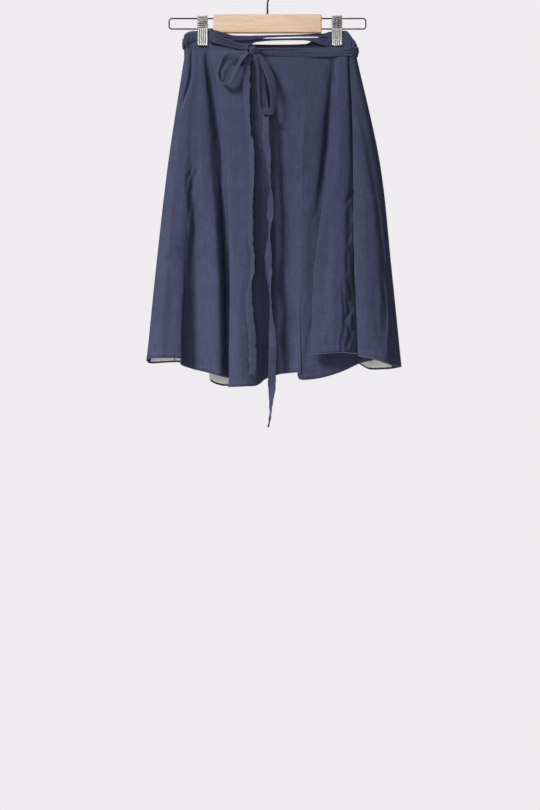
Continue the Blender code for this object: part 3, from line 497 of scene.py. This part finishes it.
def buildPanel(name, panel, side, leftSeam, rightSeam, materials):
    # side is 1 in front and -1 behind; at a side seam the cloth lies flat and 0.2 mm out from its neighbour
    sheet = panelSheet(panel)
    normal = facing(sheet, side)
    moved, fromHem = crumple(sheet, panel)
    hold = np.ones(sheet.shape[1])
    reach = panel["cuts"]
    seamGap = 0.2
    if leftSeam:
        hold[:reach] = np.linspace(0, 1, reach)
        sheet[:, 0, 1] += side * seamGap
    if rightSeam:
        hold[-reach:] = np.linspace(1, 0, reach)
        sheet[:, -1, 1] += side * seamGap
    shaped = sheet + normal * (moved * hold)[:, :, None]
    made = gridObject(name, shaped, materials, clothUvOf(sheet), seamShare(sheet, fromHem, panel))
    turnOut(made, (0, -side, 0))
    giveWall(made, panel["wall"], 1)
    if panel["turnIn"]:
        uv = made.data.uv_layers["edge"].data
        for face in made.data.polygons:
            depth = max(uv[i].uv[1] for i in face.loop_indices) * panel["hemDepth"]
            spot = face.center / mm
            lapped = any(low < spot.x < high and spot.z < under for low, high, under in panel["navyInside"])
            if depth < panel["turnIn"] or lapped:
                face.material_index = 2  # navy on both sides
    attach(made, "root")
    print(name, "area", round(sum(f.area for f in made.data.polygons), 4))
    return made, shaped, normal


# outer and inner cloth, then the same two where a hem turns in or a lap shows
clothPair = [navyLinen, printedCotton, navyLinen, navyLinen]
under, underSheet, _ = buildPanel("skirtUnderFront", underFront, 1, True, False, clothPair)
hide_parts("under_front")
over, overSheet, _ = buildPanel("skirtOverFront", overFront, 1, False, True, clothPair)
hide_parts("over_front")
# the back panel's inner side takes the darkened linen: painted shade inside the waist
back, backSheet, backNormal = buildPanel("skirtBack", backPanel, -1, True, True, [navyLinen, shadeDarkenedLinen])
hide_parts("back_panel")
print("panels made")

# the lining follows the back panel's own points, moved in past its wall, and stops short of its hem
liningPiece = {"gap": 0.5, "top": -178, "hem": 3.5, "wall": 0.8, "fromSeam": 10}
sides = liningPiece["fromSeam"]
startRow = int(np.argmax(backSheet[:, len(backSheet[0]) // 2, 2] < liningPiece["top"]))
liningSheet = (backSheet - backNormal * (backPanel["wall"] + liningPiece["gap"]))[startRow:, sides:-sides:2].copy()
lastStep = liningSheet[-2] - liningSheet[-1]
liningSheet[-1] += lastStep * (liningPiece["hem"] / np.maximum(lastStep[:, 2], 1))[:, None]
liningSheet = np.delete(liningSheet, -2, axis=0)
liningUv = clothUvOf(liningSheet)
lining = gridObject("skirtBackLining", liningSheet, [printedCotton], liningUv, liningUv)
turnOut(lining, (0, -1, 0))
giveWall(lining, liningPiece["wall"])
lining.modifiers["Cloth wall"].offset = 1
settle(lining, "back_lining")

# how far out the front stands, kept on cells 4 mm square
cell, nothing = 4, -99
frontCells = {}
for sheet in (underSheet, overSheet):
    for x, out, z in sheet.reshape(-1, 3):
        key = (round(x / cell), round(z / cell))
        frontCells[key] = max(frontCells.get(key, nothing), out)


def frontAt(x, z):
    i, j = round(x / cell), round(z / cell)
    return max(frontCells.get((i + a, j + b), nothing) for a in (-1, 0, 1) for b in (-1, 0, 1))


def finishTie(name, sheet, along, share, seams=()):
    # share runs from 0 to 1 across the tie, which has a sewn line along each edge and across at each seam's height
    sewnIn, flatWidth = 2, 14.0
    width = np.linalg.norm(sheet[0] - sheet[-1], axis=1)
    fromEdge = np.minimum(share[:, None], 1 - share[:, None]) * width[None, :] / sewnIn
    clothUv = np.stack(np.broadcast_arrays(share[:, None] * flatWidth * mm, along[None, :] * mm), axis=2)
    for z in seams:
        i = int(np.argmin(abs(sheet[len(sheet) // 2, :, 2] - z)))
        fromEdge[:, i:i + 2] = 1.0
    edgeUv = np.stack(np.broadcast_arrays(along[None, :] * mm, fromEdge), axis=2)
    return gridObject(name, sheet, [tieLinen], clothUv, edgeUv)


def tiePath(tie):
    last = len(tie["rows"]) - 1
    return curveAt(range(last + 1), tie["rows"], np.linspace(0, last, last * tie["cuts"] + 1))


def bandPiece(name, tie, replaced):
    # a tie lying round the waist: its face stands upright, with creases along it
    path = tiePath(tie)
    run = np.gradient(path[:, :2], axis=0)
    run /= np.linalg.norm(run, axis=1, keepdims=True)
    outward = np.column_stack([-run[:, 1], run[:, 0], np.zeros(len(run))])
    along = lengthAlong(path[:, :3])
    share = np.linspace(0, 1, 25)
    sheet = []
    for s in share:
        z = path[:, 2] + (path[:, 3] - path[:, 2]) * s
        bulge = 0.45 * math.sin(math.pi * s) - 0.3 - tie.get("tuck", 0) * s**6
        for where, width, depth, start, end in tie["troughs"]:
            fade = np.clip((path[:, 0] - start) / 12, 0, 1) * np.clip((end - path[:, 0]) / 12, 0, 1)
            bulge = bulge - depth * math.exp(-((s - where) / width) ** 2) * fade
        rough = 0.16 + tie["ends"] * np.clip((abs(path[:, 0]) - 128) / 20, 0, 1)  # bunched beyond the clips
        ripple = rough * np.array([wave(a / 6.5, s * 3.2, tie["seed"]) for a in along])
        wobble = np.array([0.35 * wave(a / 14, 4.0 if s < 0.5 else 9, tie["seed"]) for a in along])
        edge = abs(2 * s - 1) ** 3
        place = np.column_stack([path[:, 0], path[:, 1], z + wobble * edge])
        sheet.append(place + outward * (bulge + ripple)[:, None])
    made = finishTie(name, np.array(sheet), along, share)
    mesh = made.data
    # in front of the waist it faces forward, behind it backward
    if sum(face.normal.y * (-1 if face.center.y < -2 * mm else 1) * face.area for face in mesh.polygons) < 0:
        mesh.flip_normals()
    giveWall(made, tie["thick"])
    settle(made, replaced)
    return made


# columns: x out top bottom
tieWrap = {
    "cuts": 12, "seed": 2, "thick": 0.9, "ends": 2, "tuck": 0.9,
    # columns: where across the tie, width, depth, from x, to x
    "troughs": [(0.30, 0.05, 1.6, -18, 60), (0.66, 0.05, 0.6, 30, 110), (0.4, 0.06, 1.3, 124, 168),
                (0.55, 0.05, 0.5, -4, 60), (0.2, 0.05, 0.5, 70, 130), (0.72, 0.07, 1.5, 134, 168)],
    "rows": [
        (-18.4, 24.2, -147.5, -154), (-8, 16.2, -145.5, -156.5), (8, 14, -144, -158), (40, 12.3, -144, -160),
        (74, 11, -143.5, -160), (104, 11, -143, -160), (124, 12.4, -143, -159), (141, 12.8, -143, -159),
        (152, 11.9, -143, -159), (159.6, 8.8, -142, -158.5), (163.2, 4, -141, -158), (163.8, -1, -140.5, -158),
        (162, -6, -141, -158), (156.4, -9.4, -142, -158.5), (146, -10.8, -143, -160), (120, -12, -144, -161),
        (84, -13.2, -145, -162), (48, -14.4, -146, -162), (4, -13.6, -146, -162), (-39, -13.4, -145, -161),
        (-84, -11.8, -143, -159), (-116, -11, -143, -158), (-134, -10.4, -141, -155), (-146, -8.6, -133, -149),
        (-152, -5, -129, -145), (-153.6, 0.4, -127, -143), (-151.4, 5, -125, -141),
    ],
}
tieFrontLeft = {
    "cuts": 14, "seed": 5, "thick": 0.9, "ends": 1.4,
    "troughs": [(0.26, 0.045, 2.3, -104, -36), (0.54, 0.045, 2, -96, -34), (0.8, 0.045, 1.6, -100, -40)],
    "rows": [
        (-149.6, 7, -122, -138), (-142, 5.4, -118, -134), (-132, 3.5, -114, -129.5), (-121, 3.5, -113, -128),
        (-106.4, 3.5, -113, -128), (-102.6, 6.4, -115, -131), (-98, 9.4, -117, -133), (-84, 12.6, -124, -138),
        (-62, 15, -132, -143), (-44, 19, -138, -148), (-34.9, 22.6, -140, -147.6),
    ],
}
strandUpper = {
    "cuts": 10, "seed": 8, "thick": 0.9, "ends": 0.4,
    "troughs": [(0.34, 0.07, 1, -106, -50), (0.7, 0.07, 0.9, -100, -56), (0.5, 0.1, 0.8, 84, 116)],
    "rows": [
        (-118, 0.6, -110.5, -121), (-109, 0.6, -110, -121), (-104.6, 0.8, -110, -121),
        (-98.6, 7.4, -110.5, -121.4), (-90, 8, -112.6, -122.4), (-82, 7.6, -115, -126), (-62, 2, -119.6, -129),
        (-40, 0.6, -120, -128.4), (-12, 0.2, -119.6, -125.4), (4, 0.2, -119.2, -122.8), (56, 0, -118.2, -121.4),
        (84, 0, -116.4, -121.6), (100, 0.2, -116.1, -122.4), (107, 0.2, -115, -122.8), (118, 0.2, -114, -123),
        (130, 0.2, -113.5, -122),
    ],
}
strandMiddle = {
    "cuts": 10, "seed": 11, "thick": 0.9, "ends": 0.4,
    "troughs": [(0.4, 0.08, 0.8, 84, 116), (0.7, 0.07, 0.7, 88, 120)],
    "rows": [
        (-118, -0.6, -123.5, -133), (-106, -0.8, -123.5, -135), (-84, -1.6, -124.5, -138),
        (-56, -2.6, -125, -140), (-34, -3, -124.6, -137.6), (-20, -3, -124.8, -131), (20, -3, -124.6, -127.8),
        (60, -2.6, -123.8, -127.4), (84, -2.2, -123.4, -131), (100, -1, -123.8, -137),
        (118, -1.1, -124.4, -138), (130, -1.1, -124.4, -138),
    ],
}
wrapPiece = bandPiece("tieWrap", tieWrap, "tie_wrap")
leftPiece = bandPiece("tieFrontLeft", tieFrontLeft, "tie_front_left")
upperPiece = bandPiece("tieStrandUpper", strandUpper, "strand_upper")
middlePiece = bandPiece("tieStrandMiddle", strandMiddle, "strand_middle")


def ribbonPiece(name, tie, replaced):
    # a loose tie: the skirt's front holds it off, its edges ripple and its face is softly hollowed
    path = tiePath(tie)
    middle = path[:, [0, 2, 1]].copy()
    for i in range(len(middle)):
        half = 0.5 * path[i, 3]
        turned = math.sin(math.radians(abs(path[i, 4])))
        behind = max(frontAt(middle[i, 0] + s * half, middle[i, 2]) for s in (-1, 0, 1))
        middle[i, 1] = max(middle[i, 1], behind + tie["clear"] + half * turned)
    for _ in range(6):  # it bridges the hollows
        middle[1:-1, 1] = np.maximum(middle[1:-1, 1], 0.5 * (middle[:-2, 1] + middle[2:, 1]))
    soft = middle.copy()
    for _ in range(12):  # and its bends are eased, by 0.6 mm at most
        soft[1:-1, 1] = 0.25 * soft[:-2, 1] + 0.5 * soft[1:-1, 1] + 0.25 * soft[2:, 1]
    middle[:, 1] = np.maximum(soft[:, 1], middle[:, 1] - 0.6)
    run = np.gradient(middle, axis=0)
    run /= np.linalg.norm(run, axis=1, keepdims=True)
    wide = np.cross(run, (0.0, 1.0, 0.0))
    wide /= np.linalg.norm(wide, axis=1, keepdims=True)
    face = np.cross(wide, run)
    turn = np.radians(path[:, 4])[:, None]
    across = np.cos(turn) * wide + np.sin(turn) * face
    front = np.cross(across, run)
    along = lengthAlong(middle)
    share = np.linspace(0, 1, 11)
    sheet = []
    for s in share:
        t = 2 * s - 1
        hand = 3.0 if t < 0 else 7.0  # each edge ripples on its own
        ripple = np.array([tie["ripple"] * wave(a / 10, hand, tie["seed"]) for a in along])
        edge = np.array([tie["ripple"] * wave(a / 13, hand + 10, tie["seed"]) for a in along])
        place = middle + across * (0.5 * path[:, 3] * t + edge * t)[:, None]
        sheet.append(place + front * (ripple * t * t + tie["hollow"] * t * t)[:, None])
    made = finishTie(name, np.array(sheet), along, share, tie.get("seams", ()))
    giveWall(made, tie["thick"])
    made.modifiers["Cloth wall"].offset = 0
    settle(made, replaced)
    print(name, "length", round(along[-1]))
    return made


# columns: x z out width turn
bowLeft = {
    "cuts": 14, "seed": 21, "clear": 1.6, "ripple": 1, "hollow": -0.5, "thick": 0.9,
    "rows": [
        (-34.2, -154, 25.4, 8, 4), (-48, -157.4, 25, 12.6, 0), (-62, -159.4, 24, 13.2, -4),
        (-74, -163, 23.4, 10.6, -24), (-81, -175, 23.4, 7.6, -48), (-86.4, -190, 24, 7, -56),
        (-84, -203, 26, 7.4, -50), (-74.4, -210.4, 29, 8, -40), (-65.6, -205, 31, 8.8, -46),
        (-57.4, -187, 32, 9.4, -50), (-46, -166, 30, 9, -40), (-35.4, -154, 27.4, 9, -20),
    ],
}
bowRight = {
    "cuts": 14, "seed": 25, "clear": 1.6, "ripple": 1, "hollow": -0.5, "thick": 0.9,
    "rows": [
        (-19, -158.4, 25, 8, -10), (-8.6, -170, 27.4, 12, -10), (1.4, -190, 29, 14.4, -14),
        (8.8, -212, 30.6, 15.4, -20), (12, -236, 32.6, 14, -28), (10.6, -254, 35, 11, -24),
        (3, -262.4, 36.6, 11.4, 0), (-6, -261.4, 37.7, 11.2, 10), (-11.4, -251, 37.8, 8.6, 34),
        (-12.4, -228, 36.4, 8.6, 40), (-14, -200, 34, 8, 38), (-17.2, -176, 31.6, 8, 28),
        (-21.4, -159, 28.4, 7.6, 10),
    ],
}
shortEnd = {
    "cuts": 12, "seed": 31, "clear": 1.6, "ripple": 2.2, "hollow": -0.5, "thick": 0.9,
    "rows": [
        (-29.8, -159, 23, 9, 6), (-36, -172, 24, 12, 8), (-37, -200, 26, 12.5, 14), (-37.4, -232, 29, 12.5, 26),
        (-36, -268, 32, 12.5, 40), (-34, -300, 34, 12, 50), (-29.4, -318, 35, 12, 42),
        (-28.4, -358, 38, 12, 38), (-29, -393, 42, 12, 46), (-30.4, -429, 46, 12, 50),
        (-30.6, -459, 48, 12, 40), (-30.4, -491, 50, 12, 46), (-27, -523, 53, 12, 60), (-27, -545, 55, 12, 52),
        (-31.2, -567, 58, 12, 64), (-33, -598, 60, 12.4, 20), (-30, -633, 62, 13, 8), (-27.2, -660, 64, 13, 0),
        (-26, -678, 66, 13, -6), (-26, -704, 67, 13, 4), (-26.6, -732, 68, 12.8, 0),
    ],
}
longEnd = {
    "cuts": 10, "seed": 37, "clear": 1.6, "ripple": 1.2, "hollow": -0.5, "thick": 0.9, "seams": (-294, -674),
    "rows": [
        (-23.2, -159, 22, 8, 0), (-14, -178, 22, 10, 0), (-8, -214, 24, 12, 0), (-5, -250, 30, 12, 14),
        (-3, -286, 35, 12.4, 36), (-3.2, -304, 36, 13, 12), (-0.6, -330, 36, 13, 26), (1.2, -348, 36, 13, 54),
        (2, -366, 36, 12.6, 66), (3.2, -384, 36, 12.6, 80), (4.4, -401, 37, 12.6, 74),
        (5.4, -414, 37, 12.6, 50), (5.6, -430, 38, 12.6, 24), (5, -444, 38, 12.6, 18),
        (3.4, -464, 39, 12.6, 70), (2.7, -477, 40, 12.6, 80), (2.2, -491, 41, 12.6, 70),
        (1.6, -509, 41, 12.8, 38), (1.6, -526, 42, 12.8, 8), (2, -545, 42, 12.8, 14), (2.4, -560, 42, 12.8, 50),
        (3.2, -572, 43, 12.8, 72), (4.2, -590, 43, 12.8, 78), (5.4, -615, 44, 13, 75), (6.4, -634, 45, 13, 58),
        (7.6, -651, 46, 13.4, 36), (9.4, -678, 48, 13.8, 4), (8.8, -713, 50, 13.8, -2), (8, -740, 51, 13.8, 2),
        (7.4, -758, 51, 13.6, 30), (6.2, -776, 51, 13, 56), (5.2, -794, 51, 12.4, 74),
        (3.4, -811, 51, 11.6, 78), (0.6, -824, 51, 10, 76),
    ],
}
bowLeftPiece = ribbonPiece("bowLoopLeft", bowLeft, "bow_loop_left")
bowRightPiece = ribbonPiece("bowLoopRight", bowRight, "bow_loop_right")
shortPiece = ribbonPiece("tieShortEnd", shortEnd, "short_tie_end")
longPiece = ribbonPiece("tieLongEnd", longEnd, "long_tie_end")

# the knot: a tight lump with the tie's turns slanting round it
knot = {
    "x": -26, "out": 24, "z": -150.4, "halfWidth": 7, "halfDepth": 4.8, "halfHeight": 10.2,
    "squareness": 3.6, "shrink": 0.94, "pleatWidth": 0.085,
    # columns: where across, lean, depth
    "pleats": [(0.50, 0.10, 0.34), (-0.10, 0.16, 0.30), (-0.62, 0.08, 0.22)],
}
lump = bmesh.new()
bmesh.ops.create_uvsphere(lump, u_segments=64, v_segments=40, radius=1.0)
knotUv = lump.loops.layers.uv.new("cloth")
knotEdge = lump.loops.layers.uv.new("edge")
for face in lump.faces:
    face.smooth = True
    for loop in face.loops:
        around = math.atan2(loop.vert.co.y, loop.vert.co.x)
        loop[knotUv].uv = (around * knot["halfWidth"] * mm, loop.vert.co.z * 8 * mm)
        loop[knotEdge].uv = (around, 9.0)  # far from any edge
for vert in lump.verts:
    x, y, z = vert.co
    power = knot["squareness"]
    square = (abs(x) ** power + abs(z) ** power) ** (1 / power)
    boxy = math.hypot(x, z) / square if abs(x) + abs(z) > 1e-6 else 1
    turns = 0.04 * math.cos((z + x * 0.5) * 6.2) + sum(
        -depth * math.exp(-((x - at - lean * z) / knot["pleatWidth"]) ** 2) for at, lean, depth in knot["pleats"])
    swell = boxy * (1 + turns + 0.05 * wave(x * 2.2, y * 2.2, z * 2.2)) * knot["shrink"]
    vert.co = ((knot["x"] + x * knot["halfWidth"] * swell) * mm,
               -(knot["out"] - y * knot["halfDepth"] * (1 + turns)) * mm,
               (knot["z"] + z * knot["halfHeight"] * swell) * mm)
bmesh.ops.recalc_face_normals(lump, faces=lump.faces[:])
knotPiece = keepShape(lump, "tieKnot", [tieLinen])
settle(knotPiece, "knot")
print("ties made")


def wirePiece(name, path, radius, material, replaced):
    # a round wire: a grid rolled round the path and welded shut, with its two ends filled
    sides = 20
    path = [Vector(p) for p in path]
    shape = bmesh.new()
    bmesh.ops.create_grid(shape, x_segments=sides, y_segments=len(path) - 1, size=1.0)
    for vert in shape.verts:
        turn = math.pi * (vert.co.x + 1)
        i = round((vert.co.y + 1) / 2 * (len(path) - 1))
        run = (path[min(i + 1, len(path) - 1)] - path[max(i - 1, 0)]).normalized()
        up = Vector((0, 1, 0))
        vert.co = path[i] + radius * (math.cos(turn) * run.cross(up).normalized() + math.sin(turn) * up)
    bmesh.ops.remove_doubles(shape, verts=shape.verts[:], dist=radius * 0.02)
    bmesh.ops.holes_fill(shape, edges=shape.edges[:], sides=sides + 1)
    bmesh.ops.recalc_face_normals(shape, faces=shape.faces[:])
    for face in shape.faces:
        face.smooth = len(face.verts) == 4
    settle(keepShape(shape, name, [material]), replaced)


wires = {"reach": 177, "upper": -89, "lower": -107.8, "corner": 5, "start": 97.8, "radius": 1.3, "steps": 8}
quarter = [math.radians(90 * step / wires["steps"]) for step in range(wires["steps"] + 1)]
for side, word in ((-1, "Left"), (1, "Right")):
    path = [(side * wires["start"], 0, wires["upper"])]
    path.append((side * (wires["reach"] - wires["corner"]), 0, wires["upper"]))
    for turn in quarter[1:]:
        path.append((side * (wires["reach"] - wires["corner"] * (1 - math.sin(turn))), 0,
                     wires["upper"] - wires["corner"] * (1 - math.cos(turn))))
    for turn in quarter:
        path.append((side * (wires["reach"] - wires["corner"] * (1 - math.cos(turn))), 0,
                     wires["lower"] + wires["corner"] * (1 - math.sin(turn))))
    path.append((side * wires["start"], 0, wires["lower"]))
    path = [(x * mm, y * mm, z * mm) for x, y, z in path]
    wirePiece("hangerWire" + word, path, wires["radius"] * mm, darkWire,
              "hanger_wire_" + word.lower())
hookShape = {"wire": 3.4, "bend": 21, "foot": -81.7, "start": -75, "tipTurn": 205, "steps": 47}
centreZ = 0.5 * hookShape["wire"] - hookShape["bend"]
hookPath = [(0, 0, hookShape["foot"]), (0, 0, -70), (0, 0, 0.5 * (-82 + centreZ - hookShape["bend"]))]
for turn in np.radians(np.linspace(hookShape["start"], hookShape["tipTurn"], hookShape["steps"] + 1)):
    hookPath.append((hookShape["bend"] * math.cos(turn), 0, centreZ + hookShape["bend"] * math.sin(turn)))
hookPath = [(x * mm, y * mm, z * mm) for x, y, z in hookPath]
wirePiece("hangerHook", hookPath, 0.5 * hookShape["wire"] * mm, darkWire, "hanger_hook")

# the clip's two jaws: pressed plates with crosswise ridges where the fingers hold, and upright grooves below
jaw = {
    "left": -116.6, "right": 125.1, "plate": 0.9, "grooves": (-5.2, -1.8, 1.6, 5), "grooveHalf": 0.5,
    "columnGaps": (-2.7, 2.7), "pitch": 3.5, "ridge": 0.24, "gripTop": -86.4, "gripLow": -106.6, "lip": -137.4,
    "gripShare": 0.86, "grooveDepth": 0.5, "curl": 1.1, "curlFrom": 0.9, "rows": 137, "columns": 61,
    # columns: z out width
    "outline": [(-85, 9.4, 17.6), (-90, 8.6, 18.7), (-98, 7.4, 18.7), (-106, 6.8, 18.7), (-118, 5.8, 18.7),
                (-130, 5.1, 18.7), (-137, 4.95, 18.7), (-139.4, 4.95, 18)],
}


def jawPiece(name, middle, side, replaced):
    outline = np.array(jaw["outline"])
    rows, columns = jaw["rows"], jaw["columns"]
    z = np.linspace(outline[0, 0], outline[-1, 0], rows)
    shape = curveAt(-outline[:, 0], outline[:, 1:], -z)
    share = np.linspace(-1, 1, columns)
    x = 0.5 * shape[:, 1:] * share[None, :]
    out = np.repeat(shape[:, :1], columns, axis=1)
    down = np.repeat(z[:, None], columns, axis=1)
    held = abs(share)[None, :] < jaw["gripShare"]
    grip = (down < jaw["gripTop"]) & (down > jaw["gripLow"]) & held
    ridges = np.cos(2 * math.pi * (down - jaw["gripTop"]) / jaw["pitch"])
    for gap in jaw["columnGaps"]:
        ridges = np.minimum(ridges, 1 - 0.8 * np.exp(-((x - gap) / 0.6) ** 2))
    out = out + np.where(grip, jaw["ridge"] * ridges, 0)
    plain = (down < jaw["gripLow"] - 1.2) & (down > jaw["lip"])
    nearest = np.min([abs(x - g) for g in jaw["grooves"]], axis=0)
    out = out - np.where(plain, jaw["grooveDepth"] * np.exp(-(nearest / 0.45) ** 2), 0)
    curled = np.clip((abs(share)[None, :] - jaw["curlFrom"]) / (1 - jaw["curlFrom"]), 0, 1)
    out = out - jaw["curl"] * curled ** 2
    # painted shade: faces in the hollows between the grip ridges, in the upright grooves and along the grip's lower
    # step take the dark steel; the strip below the lip takes it too
    dark = grip & (ridges < 0.3) | plain & (nearest < jaw["grooveHalf"]) | (down < jaw["lip"])
    dark |= (abs(down - jaw["gripLow"]) < 0.5) & held
    sheet = np.stack([middle + x, side * out, down], axis=2)
    place = np.stack([x * mm, down * mm], axis=2)
    made = gridObject(name, sheet, [brightSteel, shadedSteel], place, place)
    turnOut(made, (0, -side, 0))
    uv = made.data.uv_layers["cloth"].data
    for face in made.data.polygons:
        u = sum(uv[i].uv[0] for i in face.loop_indices) / 4 / mm
        v = sum(uv[i].uv[1] for i in face.loop_indices) / 4 / mm
        r = min(max(int(round((v - z[0]) / (z[1] - z[0]))), 0), rows - 1)
        c = min(max(int(round((2 * u / shape[r, 1] + 1) / 2 * (columns - 1))), 0), columns - 1)
        face.material_index = int(dark[r, c])
    giveWall(made, jaw["plate"])
    settle(made, replaced)


for word in ("left", "right"):
    jawPiece("clipJawFront" + word.title(), jaw[word], 1, "clip_" + word + "_front")
    jawPiece("clipJawBack" + word.title(), jaw[word], -1, "clip_" + word + "_back")

for name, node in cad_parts.items():
    if name == "hanger_bar" or name.startswith("clip_"):
        node.data.materials.clear()
        node.data.materials.append(oiledBeech if name == "hanger_bar" else brightSteel)
print("hanger made")

floorShape = bmesh.new()
bmesh.ops.create_circle(floorShape, segments=96, radius=1.1, cap_ends=True)
bmesh.ops.translate(floorShape, verts=floorShape.verts[:], vec=(0, 0, -1.78))
floorLook, floorTree, floorShader = newMaterial("Pale painted floor")
floorPlace = addNode(floorTree, "TexCoord").outputs["Object"]
floorNoise = addNode(floorTree, "TexNoise", (), {"Vector": floorPlace, "Scale": 6.0, "Detail": 3.0})
floorTone = addNode(floorTree, "Mix", {"data_type": "RGBA"},
                    {0: floorNoise, 6: linear("#E4DFE1"), 7: linear("#EAE6E8")}).outputs[2]
feed(floorTree, floorShader, {"Base Color": floorTone, "Roughness": 0.8})
keepShape(floorShape, "studioFloor", [floorLook])

world = bpy.data.worlds.new("Studio")
scene.world = world
world.use_nodes = True
worldTree = world.node_tree
worldTree.nodes.clear()
seen = addNode(worldTree, "Background", (), {"Color": linear("#EFECEF"), "Strength": 1.0})
ambient = addNode(worldTree, "Background", (), {"Color": linear("#EEEDF2"), "Strength": 0.24})
toCamera = addNode(worldTree, "LightPath").outputs["Is Camera Ray"]
addNode(worldTree, "OutputWorld", (), [addNode(worldTree, "MixShader", (), [toCamera, ambient, seen])])

lights = [
    {"name": "Key from the left", "kind": "SPOT", "place": (-2.8, -2.5, 2.5), "aim": (0, 0, -1.02), "size": 0.8,
     "power": 1380, "cone": 31},
    {"name": "Fill beside the camera", "place": (-1, -3.6, -1.5), "size": 2, "power": 25},
    {"name": "Bounce under the hem", "kind": "SPOT", "place": (0.1, -2.4, -1.7), "aim": (0, 0, -0.74),
     "size": 0.3, "power": 26, "cone": 16},
    {"name": "Lamp on the hanger", "kind": "SPOT", "place": (-0.5, -3.2, 0.7), "aim": (0, 0, -0.04), "size": 0.2,
     "power": 150, "cone": 7.4},
    {"name": "Back rim", "place": (0.6, 2.6, 0.8), "size": 1.8, "power": 60},
]
for light in lights:
    data = bpy.data.lights.new(light["name"], light.get("kind", "AREA"))
    if data.type == "SPOT":
        data.spot_size, data.spot_blend = math.radians(light["cone"]), 1.0
        data.shadow_soft_size = light["size"]
    else:
        data.shape = "SQUARE"
        data.size = light["size"]
    data.energy = light["power"]
    lamp = bpy.data.objects.new(light["name"], data)
    lamp.location = light["place"]
    aim = Vector(light.get("aim", (0, 0, -0.45)))
    lamp.rotation_euler = (aim - Vector(light["place"])).to_track_quat("-Z", "Y").to_euler()
    scene.collection.objects.link(lamp)

view = {"lens": 88.9, "sensor": 36.0, "place": (0.0045, -3.6, -0.7845), "tilt": 90}
cameraData = bpy.data.cameras.new("Camera")
cameraData.lens, cameraData.sensor_width = view["lens"], view["sensor"]
camera = bpy.data.objects.new("Camera", cameraData)
camera.location = view["place"]
camera.rotation_euler = (math.radians(view["tilt"]), 0, 0)
scene.collection.objects.link(camera)
scene.camera = camera
scene.view_settings.view_transform = "Standard"
print("stage made")
